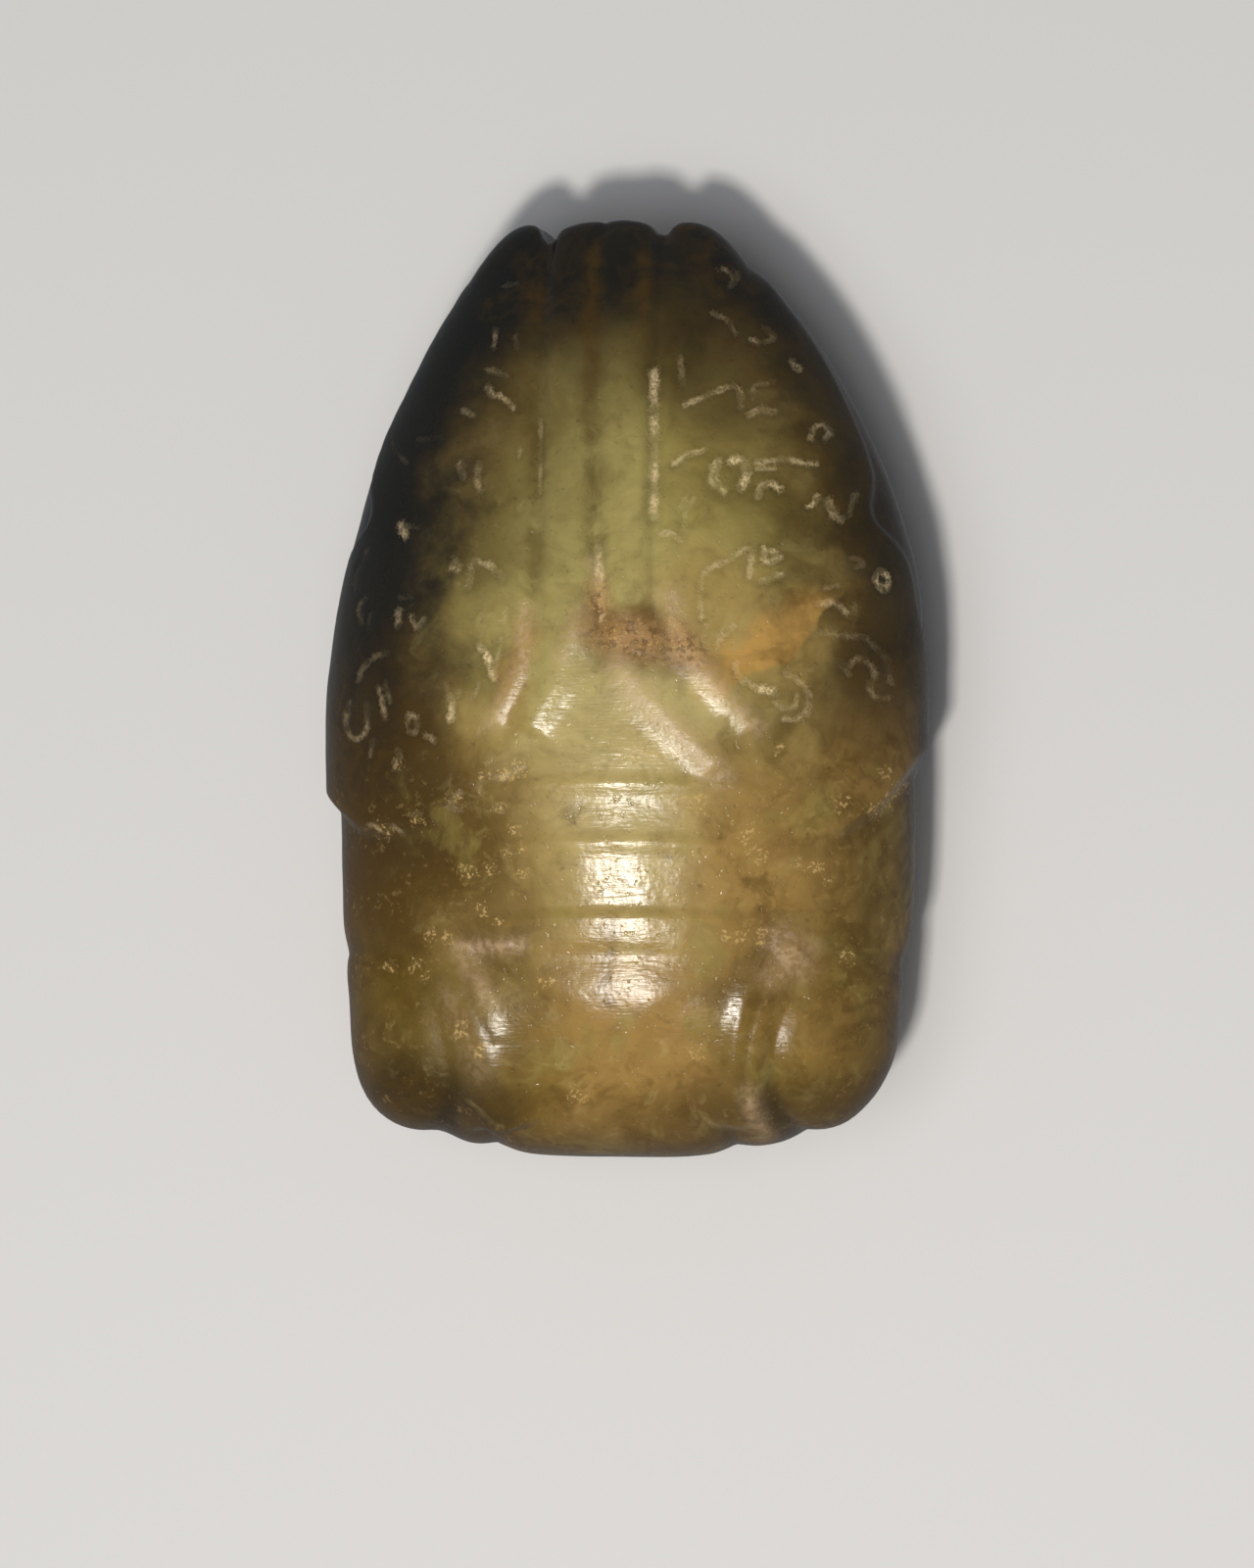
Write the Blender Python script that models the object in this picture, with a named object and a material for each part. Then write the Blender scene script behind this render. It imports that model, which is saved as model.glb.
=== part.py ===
"""A jade cicada, carved from one pebble, lying on its belly with its back up.

Metres, +Z up. The head faces -Y and the wing tips point to +Y. The origin is on the surface that the
cicada lies on, under the middle of its outline. Places on the carving are shares of the half length
(along), the half width (across) and the thickness (up), so that the drawing follows the blank.
"""

import math

import bmesh
import bpy
import numpy as np

MM = 0.001

# The blank
LENGTH = 60.0 * MM
WIDTH = 39.0 * MM
THICKNESS = 22.0 * MM
GIRDLE = 0.41  # height of the widest outline, as a share of the thickness

# Shares of the half width on the left and on the right, against the place along
HALF_WIDTHS = (
    (-1.00, 0.890, 0.790),
    (-0.90, 0.890, 0.815),
    (-0.80, 0.892, 0.862),
    (-0.67, 0.905, 0.891),
    (-0.57, 0.945, 0.934),
    (-0.42, 0.955, 0.956),
    (-0.17, 0.964, 0.957),
    (-0.07, 0.968, 0.958),
    (0.03, 0.968, 0.971),
    (0.13, 0.964, 0.980),
    (0.23, 0.944, 0.968),
    (0.34, 0.904, 0.925),
    (0.44, 0.862, 0.872),
    (0.54, 0.804, 0.803),
    (0.64, 0.730, 0.725),
    (0.74, 0.652, 0.629),
    (0.84, 0.562, 0.512),
    (0.92, 0.500, 0.420),
    (1.00, 0.430, 0.330),
)
# Shares of the thickness above the girdle
CRESTS = (
    (-1.0, 0.400),
    (-0.8, 0.440),
    (-0.6, 0.490),
    (-0.4, 0.540),
    (-0.1, 0.580),
    (0.15, 0.560),
    (0.4, 0.490),
    (0.6, 0.400),
    (0.8, 0.290),
    (0.92, 0.195),
    (1.0, 0.115),
)
# Shares of the thickness below the girdle; the flat of the belly cuts the deepest of it off
KEELS = (
    (-1.0, 0.340),
    (-0.8, 0.400),
    (-0.6, 0.432),
    (-0.2, 0.440),
    (0.2, 0.436),
    (0.45, 0.400),
    (0.7, 0.310),
    (0.9, 0.190),
    (1.0, 0.110),
)
HEAD_BLUNTNESS = 17.0
HEAD_SQUARENESS = 2.8
BODY_SQUARENESS = 2.2

# The tail's outline: three lobes, each (across, along, how fast it falls away to the left and to the right)
TAIL_LOBES = ((-0.323, 0.991, 2.4, 5.2), (-0.035, 0.990, 0.7, 0.7), (0.215, 0.993, 2.0, 2.4))
TAIL_ROOT = 0.90
TAIL_ROUNDING = 2.0 * MM

# The wings: a layer that stands proud of the body
WING_EDGE = 1.0 * MM
WING_LIFTS = (
    (-0.33, 1.00 * MM),
    (-0.12, 0.98 * MM),
    (-0.02, 0.85 * MM),
    (0.08, 0.50 * MM),
    (0.18, 0.26 * MM),
    (0.28, 0.26 * MM),
    (0.36, 0.50 * MM),
    (0.60, 0.50 * MM),
    (0.85, 0.38 * MM),
    (1.00, 0.25 * MM),
)
WING_LIFT_MIDDLE = 0.5  # the share of the lift that is left beside the strip
WING_FRONT = (
    (-1.10, -0.17),
    (-0.94, -0.255),
    (-0.83, -0.308),
    (-0.70, -0.317),
    (-0.54, -0.280),
    (-0.41, -0.220),
    (-0.31, -0.165),
    (-0.255, -0.090),
    (-0.18, -0.030),
    (-0.12, 0.060),
    (0.0, 0.100),
    (0.09, 0.030),
    (0.235, -0.043),
    (0.31, -0.105),
    (0.40, -0.183),
    (0.51, -0.253),
    (0.70, -0.325),
    (0.86, -0.265),
    (0.95, -0.165),
    (1.10, -0.03),
)
# The lower edge of each wing on the flank, as shares of the thickness above the girdle
WING_MARGIN = (
    (-0.35, -0.22),
    (-0.15, -0.16),
    (0.0, -0.04),
    (0.15, 0.08),
    (0.28, 0.13),
    (0.34, 0.215),
    (0.45, 0.15),
    (0.6, 0.10),
    (0.8, 0.055),
    (1.0, 0.02),
)

# The strip between the wings, from the collar's point to the tail
STRIP_CENTRE = ((0.0, 0.0), (0.2, -0.020), (0.6, -0.034), (1.0, -0.058))
STRIP_HALF_WIDTH = 3.7 * MM
STRIP_START = 0.10
STRIP_GROOVE = 0.75 * MM
STRIP_GROOVE_DEPTH = 0.42 * MM
SPINE_GROOVE = 1.4 * MM
SPINE_GROOVE_DEPTH = 0.40 * MM
FLUTE_RISE = 0.25 * MM

# The collar: raised bars that part from its point, each (points, width, height)
COLLAR_BARS = (
    (((0.030, 0.055), (0.09, 0.020), (0.235, -0.043), (0.31, -0.105), (0.395, -0.180)), 1.3 * MM, 0.62 * MM),
    (((0.20, 0.30), (0.205, 0.20), (0.262, 0.100), (0.385, -0.017), (0.50, -0.083), (0.54, -0.100)), 1.00 * MM, 0.40 * MM),
    (((-0.075, 0.090), (-0.125, 0.058), (-0.182, -0.032), (-0.255, -0.088), (-0.300, -0.120)), 1.3 * MM, 0.62 * MM),
    (((-0.265, 0.30), (-0.262, 0.19), (-0.282, 0.063), (-0.315, 0.004), (-0.385, -0.067), (-0.42, -0.100)), 1.00 * MM, 0.40 * MM),
)

# The thorax: beads that cross it, each (place along, width, height), and the rolls between them
THORAX_CENTRE = 0.045
BEADS = ((-0.208, 0.75 * MM, 0.32 * MM), (-0.335, 0.75 * MM, 0.34 * MM), (-0.507, 1.15 * MM, 0.40 * MM))
ROLLS = (
    (-0.320, -0.228, 0.26 * MM),
    (-0.488, -0.357, 0.38 * MM),
    (-0.700, -0.540, 0.42 * MM),
)
BEAD_SAG = 0.14
BEAD_HALF_LENGTH = 6.2 * MM
BEAD_FADE = 4.6 * MM

# The eyes: domes at the head's corners. Each (across, along, up, half sizes, turn in degrees)
EYE_DOMES = (
    ((0.735, -0.760, 0.10), (5.1 * MM, 6.5 * MM, 9.5 * MM), 14.0),
    ((-0.745, -0.755, 0.10), (5.3 * MM, 6.7 * MM, 9.5 * MM), -11.0),
)
EYE_RISE = 0.95 * MM
EYE_GROOVE = 0.8 * MM
EYE_GROOVE_DEPTH = 0.24 * MM
EYE_LIDS = (
    (((0.625, -0.585), (0.545, -0.650), (0.482, -0.707), (0.444, -0.763), (0.425, -0.853), (0.43, -0.97)), 1.0 * MM, 0.50 * MM),
    (((0.500, -0.590), (0.446, -0.633), (0.400, -0.690), (0.358, -0.757), (0.330, -0.830), (0.31, -0.93)), 0.9 * MM, 0.34 * MM),
    (((-0.500, -0.565), (-0.472, -0.583), (-0.400, -0.650), (-0.354, -0.727), (-0.328, -0.783), (-0.277, -0.860), (-0.25, -0.95)), 1.4 * MM, 0.55 * MM),
)
BROW_KNOBS = ((0.600, -0.560, 1.6 * MM, 0.35 * MM), (-0.470, -0.560, 1.3 * MM, 0.28 * MM))

# The face: a shield between the eyes, and the lip below it
SHIELD = ((-0.27, -0.66), (-0.20, -0.76), (-0.035, -0.885), (0.11, -0.78), (0.20, -0.66))
SHIELD_RISE = 0.28 * MM
SHIELD_EDGE = 1.1 * MM
SHIELD_FADE = 2 * MM
LIP = (-0.42, 0.36)
LIP_RISE = 0.42 * MM
LIP_EDGE = 3 * MM
LIP_LEVEL = -0.02
LIP_CREASE = 1.3 * MM
LIP_CREASE_DEPTH = 0.45 * MM
MOUTH_LEVEL = -0.17

# The belly: plain cross cuts on the abdomen and a folded leg on each side of them
BELLY_CUTS = (0.08, 0.24, 0.40, 0.56, 0.72)
BELLY_CUT_WIDTH = 0.7 * MM
BELLY_CUT_DEPTH = 0.30 * MM
LEG = ((0.10, -0.60), (0.30, -0.42), (0.41, -0.20), (0.43, 0.0))

# The mesh
CELLS_ACROSS = 92
CELLS_ALONG = 140
CELLS_UP = 44
TRIANGLES = 9500
CURVE_STEPS = 28
JADE_COLOUR = (0.23, 0.21, 0.07, 1.0)


def eased(stations, at):
    """A smooth line through the stations, (place, value) pairs, read at the places given."""
    places, values = np.array(stations, float).T
    at = np.clip(at, places[0], places[-1])
    slopes = np.gradient(values, places)
    cell = np.clip(np.searchsorted(places, at) - 1, 0, len(places) - 2)
    gap = places[cell + 1] - places[cell]
    share = np.clip((at - places[cell]) / gap, 0.0, 1.0)
    rise = share * share * (3 - 2 * share)
    start_pull = share * (1 - share) ** 2 * gap * slopes[cell]
    end_pull = share * share * (1 - share) * gap * slopes[cell + 1]
    return values[cell] * (1 - rise) + values[cell + 1] * rise + start_pull - end_pull


def ramp(value, width):
    """0 below minus half the width, 1 above plus half of it, and smooth between."""
    share = np.clip(value / width + 0.5, 0.0, 1.0)
    return share * share * (3 - 2 * share)


def bump(distance, width):
    """1 on the line and near 0 a width away, rounded like a bead."""
    return np.exp(-((distance / (0.6 * width)) ** 2))


def arc(value, low, high):
    """A rounded swelling from low to high, 1 half way and 0 outside."""
    share = np.clip((value - low) / (high - low), 0.0, 1.0)
    return np.sqrt(np.maximum(4 * share * (1 - share), 0.0))


def smooth_max(first, second, rounding):
    share = np.clip(0.5 + 0.5 * (first - second) / rounding, 0.0, 1.0)
    return second * (1 - share) + first * share + rounding * share * (1 - share)


def drawn(points):
    """The smooth plan curve through (across, along) points, in metres."""
    corners = np.array(points) * (WIDTH / 2, LENGTH / 2)
    travel = np.concatenate(([0.0], np.cumsum(np.linalg.norm(np.diff(corners, axis=0), axis=1))))
    places = np.linspace(0.0, travel[-1], CURVE_STEPS)
    return np.stack([eased(np.stack([travel, corners[:, k]], axis=1), places) for k in (0, 1)], axis=1)


def nearest(x, y, curve):
    """The distance to a plan curve, positive on its left, and how far along it the nearest point is, 0 to 1."""
    best = np.full(x.shape, np.inf)
    signed = np.zeros(x.shape)
    place = np.zeros(x.shape)
    for index, (start, end) in enumerate(zip(curve[:-1], curve[1:])):
        way = end - start
        share = ((x - start[0]) * way[0] + (y - start[1]) * way[1]) / (way @ way)
        share = np.clip(share, 0.0, 1.0)
        off_x = x - start[0] - share * way[0]
        off_y = y - start[1] - share * way[1]
        distance = np.hypot(off_x, off_y)
        closer = distance < best
        best = np.where(closer, distance, best)
        left = np.sign(way[0] * off_y - way[1] * off_x)
        signed = np.where(closer, distance * np.where(left == 0, 1, left), signed)
        place = np.where(closer, (index + share) / (len(curve) - 1), place)
    return signed, place


def tail_end(x):
    """How far back the three lobes of the tail reach."""
    across = x / (WIDTH / 2)
    reach = np.full(x.shape, TAIL_ROOT)
    for middle, along, fall_left, fall_right in TAIL_LOBES:
        fall = np.where(across < middle, fall_left, fall_right)
        reach = np.maximum(reach, along - fall * (across - middle) ** 2)
    return reach * LENGTH / 2


def blank(x, y, z):
    """The uncarved form: below 0 inside it, above 0 outside, and near a distance close to its skin."""
    along = y / (LENGTH / 2)
    head = np.clip(-along, 0.0, None)
    places, left, right = np.array(HALF_WIDTHS).T
    half = np.where(x < 0, eased(np.stack([places, left], 1), along), eased(np.stack([places, right], 1), along))
    across = x / (WIDTH / 2) / half
    above = z / THICKNESS - GIRDLE
    up = np.where(above > 0, above / eased(CRESTS, along), above / eased(KEELS, along))
    squareness = BODY_SQUARENESS + (HEAD_SQUARENESS - BODY_SQUARENESS) * ramp(head - 0.65, 0.3)
    total = np.abs(across) ** squareness + np.abs(up) ** BODY_SQUARENESS + head**HEAD_BLUNTNESS
    body = (total ** (1 / BODY_SQUARENESS) - 1) * THICKNESS / 2
    return smooth_max(body, y - tail_end(x), TAIL_ROUNDING)


def cast(directions):
    """Where each ray from the middle of the blank meets its skin."""
    reach = directions * (WIDTH / 2, LENGTH / 2, THICKNESS / 2)
    low = np.full(len(reach), 0.2)
    high = np.full(len(reach), 1.8)
    centre = np.array((0.0, 0.0, GIRDLE * THICKNESS))
    for _ in range(30):
        middle = (low + high) / 2
        inside = blank(*(centre + reach * middle[:, None]).T) < 0
        low = np.where(inside, middle, low)
        high = np.where(inside, high, middle)
    points = centre + reach * low[:, None]
    points[:, 2] = np.maximum(points[:, 2], 0.0)
    return points


def wing_layer(x, y, z):
    """The step up from the body to the wings, highest at the shoulders."""
    along = y / (LENGTH / 2)
    front, _ = nearest(x, y, drawn(WING_FRONT))
    margin = (z / THICKNESS - GIRDLE - eased(WING_MARGIN, along)) * THICKNESS
    outward = np.clip(np.abs(x) / (WIDTH / 2), 0.0, 1.0) ** 2
    lift = eased(WING_LIFTS, along) * (WING_LIFT_MIDDLE + (1 - WING_LIFT_MIDDLE) * outward)
    return lift * ramp(front, WING_EDGE) * ramp(margin, WING_EDGE)


def strip(x, y):
    """The fluted strip between the wings, with the groove of the spine down its middle."""
    along = y / (LENGTH / 2)
    off = x - eased(STRIP_CENTRE, along) * WIDTH / 2
    present = ramp(along - STRIP_START, 0.12)
    edges = bump(np.abs(off) - STRIP_HALF_WIDTH, STRIP_GROOVE)
    deeper = 1 + 1.2 * ramp(along - 0.88, 0.2)
    spine = bump(off, SPINE_GROOVE)
    flutes = arc(np.abs(off), 0.0, STRIP_HALF_WIDTH)
    return present * (FLUTE_RISE * flutes - SPINE_GROOVE_DEPTH * spine - STRIP_GROOVE_DEPTH * deeper * edges)


def bars(x, y, rows):
    """Raised bars along plan curves, rounded across and tapered at both ends."""
    height = np.zeros(x.shape)
    for points, width, rise in rows:
        distance, place = nearest(x, y, drawn(points))
        ends = ramp(place - 0.12, 0.24) * ramp(0.97 - place, 0.06)
        height = np.maximum(height, rise * bump(distance, width) * ends)
    return height


def thorax(x, y):
    """The beads and rolls across the thorax and the crown of the head."""
    off = x - THORAX_CENTRE * WIDTH / 2
    bent = y / (LENGTH / 2) + BEAD_SAG * (off / (WIDTH / 2)) ** 2
    height = np.zeros(x.shape)
    for low, high, rise in ROLLS:
        height += rise * arc(bent, low, high) ** 1.3
    for place, width, rise in BEADS:
        gap = (bent - place) * LENGTH / 2
        height += rise * bump(gap, width) - 0.45 * rise * bump(np.abs(gap) - 1.35 * width, 0.7 * width)
    return height * ramp(BEAD_HALF_LENGTH + BEAD_FADE / 2 - np.abs(off), BEAD_FADE)


def eyes(x, y, z):
    """The two domes of the eyes, each with a groove round its foot."""
    height = np.zeros(x.shape)
    for (across, along, up), half, turn in EYE_DOMES:
        angle = math.radians(turn)
        off_x = x - across * WIDTH / 2
        off_y = y - along * LENGTH / 2
        side = (off_x * math.cos(angle) - off_y * math.sin(angle)) / half[0]
        length = (off_x * math.sin(angle) + off_y * math.cos(angle)) / half[1]
        level = (z - (GIRDLE + up) * THICKNESS) / half[2]
        out = np.sqrt(side**2 + length**2 + level**2)
        dome = np.sqrt(np.clip(1 - out**2, 0.0, 1.0)) ** 0.9
        height += EYE_RISE * dome
        height -= EYE_GROOVE_DEPTH * bump((out - 1.04) * half[0], EYE_GROOVE)
    return height


def face(x, y):
    """The shield between the eyes and the knobs where the eyelids meet the thorax."""
    outline, _ = nearest(x, y, drawn(SHIELD))
    inside = ramp(y + 0.98 * LENGTH / 2, SHIELD_FADE) * ramp(-0.66 * LENGTH / 2 - y, SHIELD_FADE)
    inside *= ramp(outline, SHIELD_EDGE)
    height = SHIELD_RISE * inside
    for across, along, radius, rise in BROW_KNOBS:
        distance = np.hypot(x - across * WIDTH / 2, y - along * LENGTH / 2)
        height = np.maximum(height, rise * bump(distance, radius))
    return height


def lip(x, y, z):
    """The muzzle on the front of the head: a swelling between two creases, with the mouth's line across it."""
    across = x / (WIDTH / 2)
    level = z / THICKNESS - GIRDLE
    swelling = LIP_RISE * arc(across, *LIP) ** 0.7 * np.exp(-(((level - LIP_LEVEL) / 0.34) ** 2))
    inside = ramp(0.36 - np.abs(level), 0.16)
    creases = sum(bump((across - side) * WIDTH / 2, LIP_CREASE) for side in LIP) * inside
    bowed = (level - MOUTH_LEVEL - 0.4 * (across - sum(LIP) / 2) ** 2) * THICKNESS
    mouth = bump(bowed, LIP_CREASE) * ramp(arc(across, *LIP) - 0.4, 0.5)
    front = ramp(-y - 0.93 * LENGTH / 2, LIP_EDGE)
    return front * (swelling - LIP_CREASE_DEPTH * np.maximum(creases, mouth))


def belly(x, y):
    """Cross cuts over the abdomen and two folded legs, all shallow."""
    along = y / (LENGTH / 2)
    depth = np.zeros(x.shape)
    for place in BELLY_CUTS:
        gap = (along - place + 0.10 * (x / (WIDTH / 2)) ** 2) * LENGTH / 2
        depth = np.maximum(depth, bump(gap, BELLY_CUT_WIDTH))
    depth *= ramp(0.62 - np.abs(x) / (WIDTH / 2), 0.25)
    for side in (-1, 1):
        distance, _ = nearest(x, y, drawn([(side * across, place) for across, place in LEG]))
        depth = np.maximum(depth, bump(distance, 1.3 * BELLY_CUT_WIDTH))
    return -BELLY_CUT_DEPTH * depth


def carving(x, y, z):
    """How far the carved surface stands out of the blank, everywhere."""
    above = z / THICKNESS - GIRDLE
    top = ramp(above + 0.03, 0.14)
    height = wing_layer(x, y, z) + eyes(x, y, z) + lip(x, y, z)
    height += top * (strip(x, y) + thorax(x, y) + bars(x, y, COLLAR_BARS + EYE_LIDS) + face(x, y))
    return height + ramp(-above - 0.2, 0.12) * belly(x, y)


def box_of_cells():
    """A cube from -1 to 1, cut into cells along each axis."""
    box = bmesh.new()
    bmesh.ops.create_cube(box, size=2.0)
    for axis, cells in enumerate((CELLS_ACROSS, CELLS_ALONG, CELLS_UP)):
        edges = [e for e in box.edges if abs((e.verts[0].co - e.verts[1].co)[axis]) > 1.0]
        bmesh.ops.subdivide_edges(box, edges=edges, cuts=cells - 1, use_grid_fill=True)
    mesh = bpy.data.meshes.new("cicada")
    box.to_mesh(mesh)
    box.free()
    return mesh


def ball_directions(mesh):
    """Each vertex of the cube moved out to the unit ball, with cells of much the same size."""
    cube = np.empty(len(mesh.vertices) * 3)
    mesh.vertices.foreach_get("co", cube)
    cube = cube.reshape(-1, 3)
    a, b, c = (cube**2).T
    rounded = np.stack([1 - b / 2 - c / 2 + b * c / 3, 1 - a / 2 - c / 2 + a * c / 3, 1 - a / 2 - b / 2 + a * b / 3])
    return cube * np.sqrt(rounded.T)


def fitted(points):
    """Stretched to the part's own size, with the origin under the middle of the box."""
    low = points.min(axis=0)
    size = points.max(axis=0) - low
    share = (points - low) / size
    return (share - (0.5, 0.5, 0.0)) * (WIDTH, LENGTH, THICKNESS)


def set_points(mesh, points):
    mesh.vertices.foreach_set("co", points.astype(np.float32).ravel())
    mesh.update()


def jade():
    material = bpy.data.materials.new("jade")
    material.use_nodes = True
    shader = material.node_tree.nodes["Principled BSDF"]
    shader.inputs["Base Color"].default_value = JADE_COLOUR
    shader.inputs["Roughness"].default_value = 0.28
    shader.inputs["Metallic"].default_value = 0.0
    return material


def carve_cicada():
    mesh = box_of_cells()
    points = cast(ball_directions(mesh))
    set_points(mesh, points)
    normals = np.empty(len(mesh.vertices) * 3)
    mesh.vertices.foreach_get("normal", normals)
    points += normals.reshape(-1, 3) * carving(*points.T)[:, None]
    set_points(mesh, fitted(points))
    mesh.shade_smooth()
    mesh.materials.append(jade())
    cicada = bpy.data.objects.new("jade_cicada", mesh)
    bpy.context.scene.collection.objects.link(cicada)
    thinned = cicada.modifiers.new("fewer triangles", "DECIMATE")
    thinned.ratio = TRIANGLES / (2 * len(mesh.polygons))
    return cicada


def main():
    for obj in list(bpy.data.objects):
        bpy.data.objects.remove(obj)
    carve_cicada()


main()
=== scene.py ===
"""The looks of a jade cicada that lies on its belly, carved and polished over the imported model.

The carving repeats the part's own form from its shares and adds what only a fine mesh can hold: the
engraving on the wings, the broken and worn places and the unevenness of hand polishing.
"""

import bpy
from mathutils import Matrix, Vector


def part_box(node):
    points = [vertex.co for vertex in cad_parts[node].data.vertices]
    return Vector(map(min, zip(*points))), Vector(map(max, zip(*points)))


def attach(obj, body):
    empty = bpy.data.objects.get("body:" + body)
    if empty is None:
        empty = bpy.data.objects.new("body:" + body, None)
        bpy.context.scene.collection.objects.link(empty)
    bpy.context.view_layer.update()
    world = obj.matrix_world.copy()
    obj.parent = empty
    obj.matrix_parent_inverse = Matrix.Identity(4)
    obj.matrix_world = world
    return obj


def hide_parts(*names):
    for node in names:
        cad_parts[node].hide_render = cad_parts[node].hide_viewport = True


bl_info = {
    "name": "Jade Cicada",
    "version": (1, 0, 0),
    "blender": (4, 5, 0),
    "location": "3D View > Sidebar > Cicada",
    "description": "Carves, polishes and lights a jade cicada on its packed model",
    "category": "Object",
}

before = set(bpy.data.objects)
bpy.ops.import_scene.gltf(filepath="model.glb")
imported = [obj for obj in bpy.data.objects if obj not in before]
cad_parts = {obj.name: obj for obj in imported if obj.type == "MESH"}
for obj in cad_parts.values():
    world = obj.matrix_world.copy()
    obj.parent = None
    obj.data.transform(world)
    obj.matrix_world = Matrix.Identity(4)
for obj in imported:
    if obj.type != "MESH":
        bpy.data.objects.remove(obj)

import math

import bmesh
import bpy
import numpy as np
from mathutils import Matrix, Vector, noise

MM = 0.001
NODE = "jade_cicada"
LOW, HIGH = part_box(NODE)
WIDTH, LENGTH, THICKNESS = HIGH - LOW
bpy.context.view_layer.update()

GIRDLE = 0.41  # height of the widest outline, as a share of the thickness
RIDGE_FALL = 0.6  # the share of its width in which a ridge or a groove falls away

# Shares of the half width on the left and on the right, against the place along
HALF_WIDTHS = (
    (-1.00, 0.890, 0.790), (-0.90, 0.890, 0.815), (-0.80, 0.892, 0.862), (-0.67, 0.905, 0.891),
    (-0.57, 0.945, 0.934), (-0.42, 0.955, 0.956), (-0.17, 0.964, 0.957), (-0.07, 0.968, 0.958),
    (0.03, 0.968, 0.971), (0.13, 0.964, 0.980), (0.23, 0.944, 0.968), (0.34, 0.904, 0.925),
    (0.44, 0.862, 0.872), (0.54, 0.804, 0.803), (0.64, 0.730, 0.725), (0.74, 0.652, 0.629),
    (0.84, 0.562, 0.512), (0.92, 0.500, 0.420), (1.00, 0.430, 0.330),
)
# Shares of the thickness above the girdle
CRESTS = (
    (-1.0, 0.343), (-0.8, 0.446), (-0.68, 0.492), (-0.6, 0.510), (-0.49, 0.533), (-0.36, 0.560),
    (-0.2, 0.578), (-0.1, 0.580), (0.15, 0.560), (0.4, 0.490), (0.6, 0.400), (0.8, 0.290),
    (0.92, 0.195), (1.0, 0.115),
)
# Shares of the thickness below the girdle; the flat of the belly cuts the deepest of it off
KEELS = (
    (-1.0, 0.340), (-0.8, 0.400), (-0.6, 0.432), (-0.2, 0.440), (0.2, 0.436), (0.45, 0.400),
    (0.7, 0.310), (0.9, 0.190), (1.0, 0.110),
)
HEAD_BLUNTNESS = 17.0
HEAD_SQUARENESS = 2.8
HEAD_START = 0.65
HEAD_FADE = 0.3
BODY_SQUARENESS = 2.2
BACK_SQUARENESS = 1.95

# The tail's outline: three lobes, each (across, along, how fast it falls away to the left and to the right)
TAIL_LOBES = ((-0.323, 0.991, 2.4, 5.2), (-0.035, 0.990, 0.7, 0.7), (0.215, 0.993, 2.0, 2.4))
TAIL_ROOT = 0.90
TAIL_ROUNDING = 2.0 * MM

# The wings: a layer that stands proud of the body
WING_EDGE = 1.0 * MM
WING_LIFTS = (
    (-0.33, 1.00 * MM), (-0.12, 0.98 * MM), (-0.02, 0.85 * MM), (0.08, 0.50 * MM), (0.18, 0.26 * MM),
    (0.28, 0.26 * MM), (0.36, 0.50 * MM), (0.60, 0.50 * MM), (0.85, 0.38 * MM), (1.00, 0.25 * MM),
)
WING_LIFT_MIDDLE = 0.1  # the share of the lift that is left beside the strip
WING_EDGE_MIDDLE = 2.2 * MM  # how gently the wings' front edges rise there
WING_FRONT = (
    (-1.10, -0.17), (-0.94, -0.255), (-0.83, -0.308), (-0.70, -0.317), (-0.54, -0.280), (-0.41, -0.220),
    (-0.31, -0.165), (-0.245, -0.125), (-0.18, -0.070), (-0.125, 0.000), (-0.070, 0.080), (0.0, 0.075),
    (0.09, -0.010), (0.20, -0.090), (0.30, -0.150), (0.40, -0.210), (0.51, -0.253), (0.70, -0.325),
    (0.86, -0.265), (0.95, -0.165), (1.10, -0.03),
)
# The lower edge of each wing on the flank, as shares of the thickness above the girdle
WING_MARGIN = (
    (-0.35, -0.22), (-0.15, -0.16), (0.0, -0.04), (0.15, 0.08), (0.28, 0.13), (0.34, 0.215),
    (0.45, 0.15), (0.6, 0.10), (0.8, 0.055), (1.0, 0.02),
)

# The strip between the wings, from the collar's point to the tail
STRIP_CENTRE = ((0.0, 0.0), (0.2, -0.020), (0.6, -0.034), (1.0, -0.058))
STRIP_HALF_WIDTH = 3.7 * MM
STRIP_START = 0.10
STRIP_GROOVE = 0.95 * MM
STRIP_GROOVE_DEPTH = 0.26 * MM
SPINE_GROOVE = 1.3 * MM
SPINE_GROOVE_DEPTH = 0.34 * MM
FLUTE_RISE = 0.22 * MM
STRIP_FADE = 0.12
STRIP_TAIL = 0.93  # where the grooves beside the strip get deeper
STRIP_TAIL_FADE = 0.14
STRIP_TAIL_DEEPER = 1.2
SPINE_END = 0.80
SPINE_END_FADE = 0.2
SPINE_END_LOSS = 0.85

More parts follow.
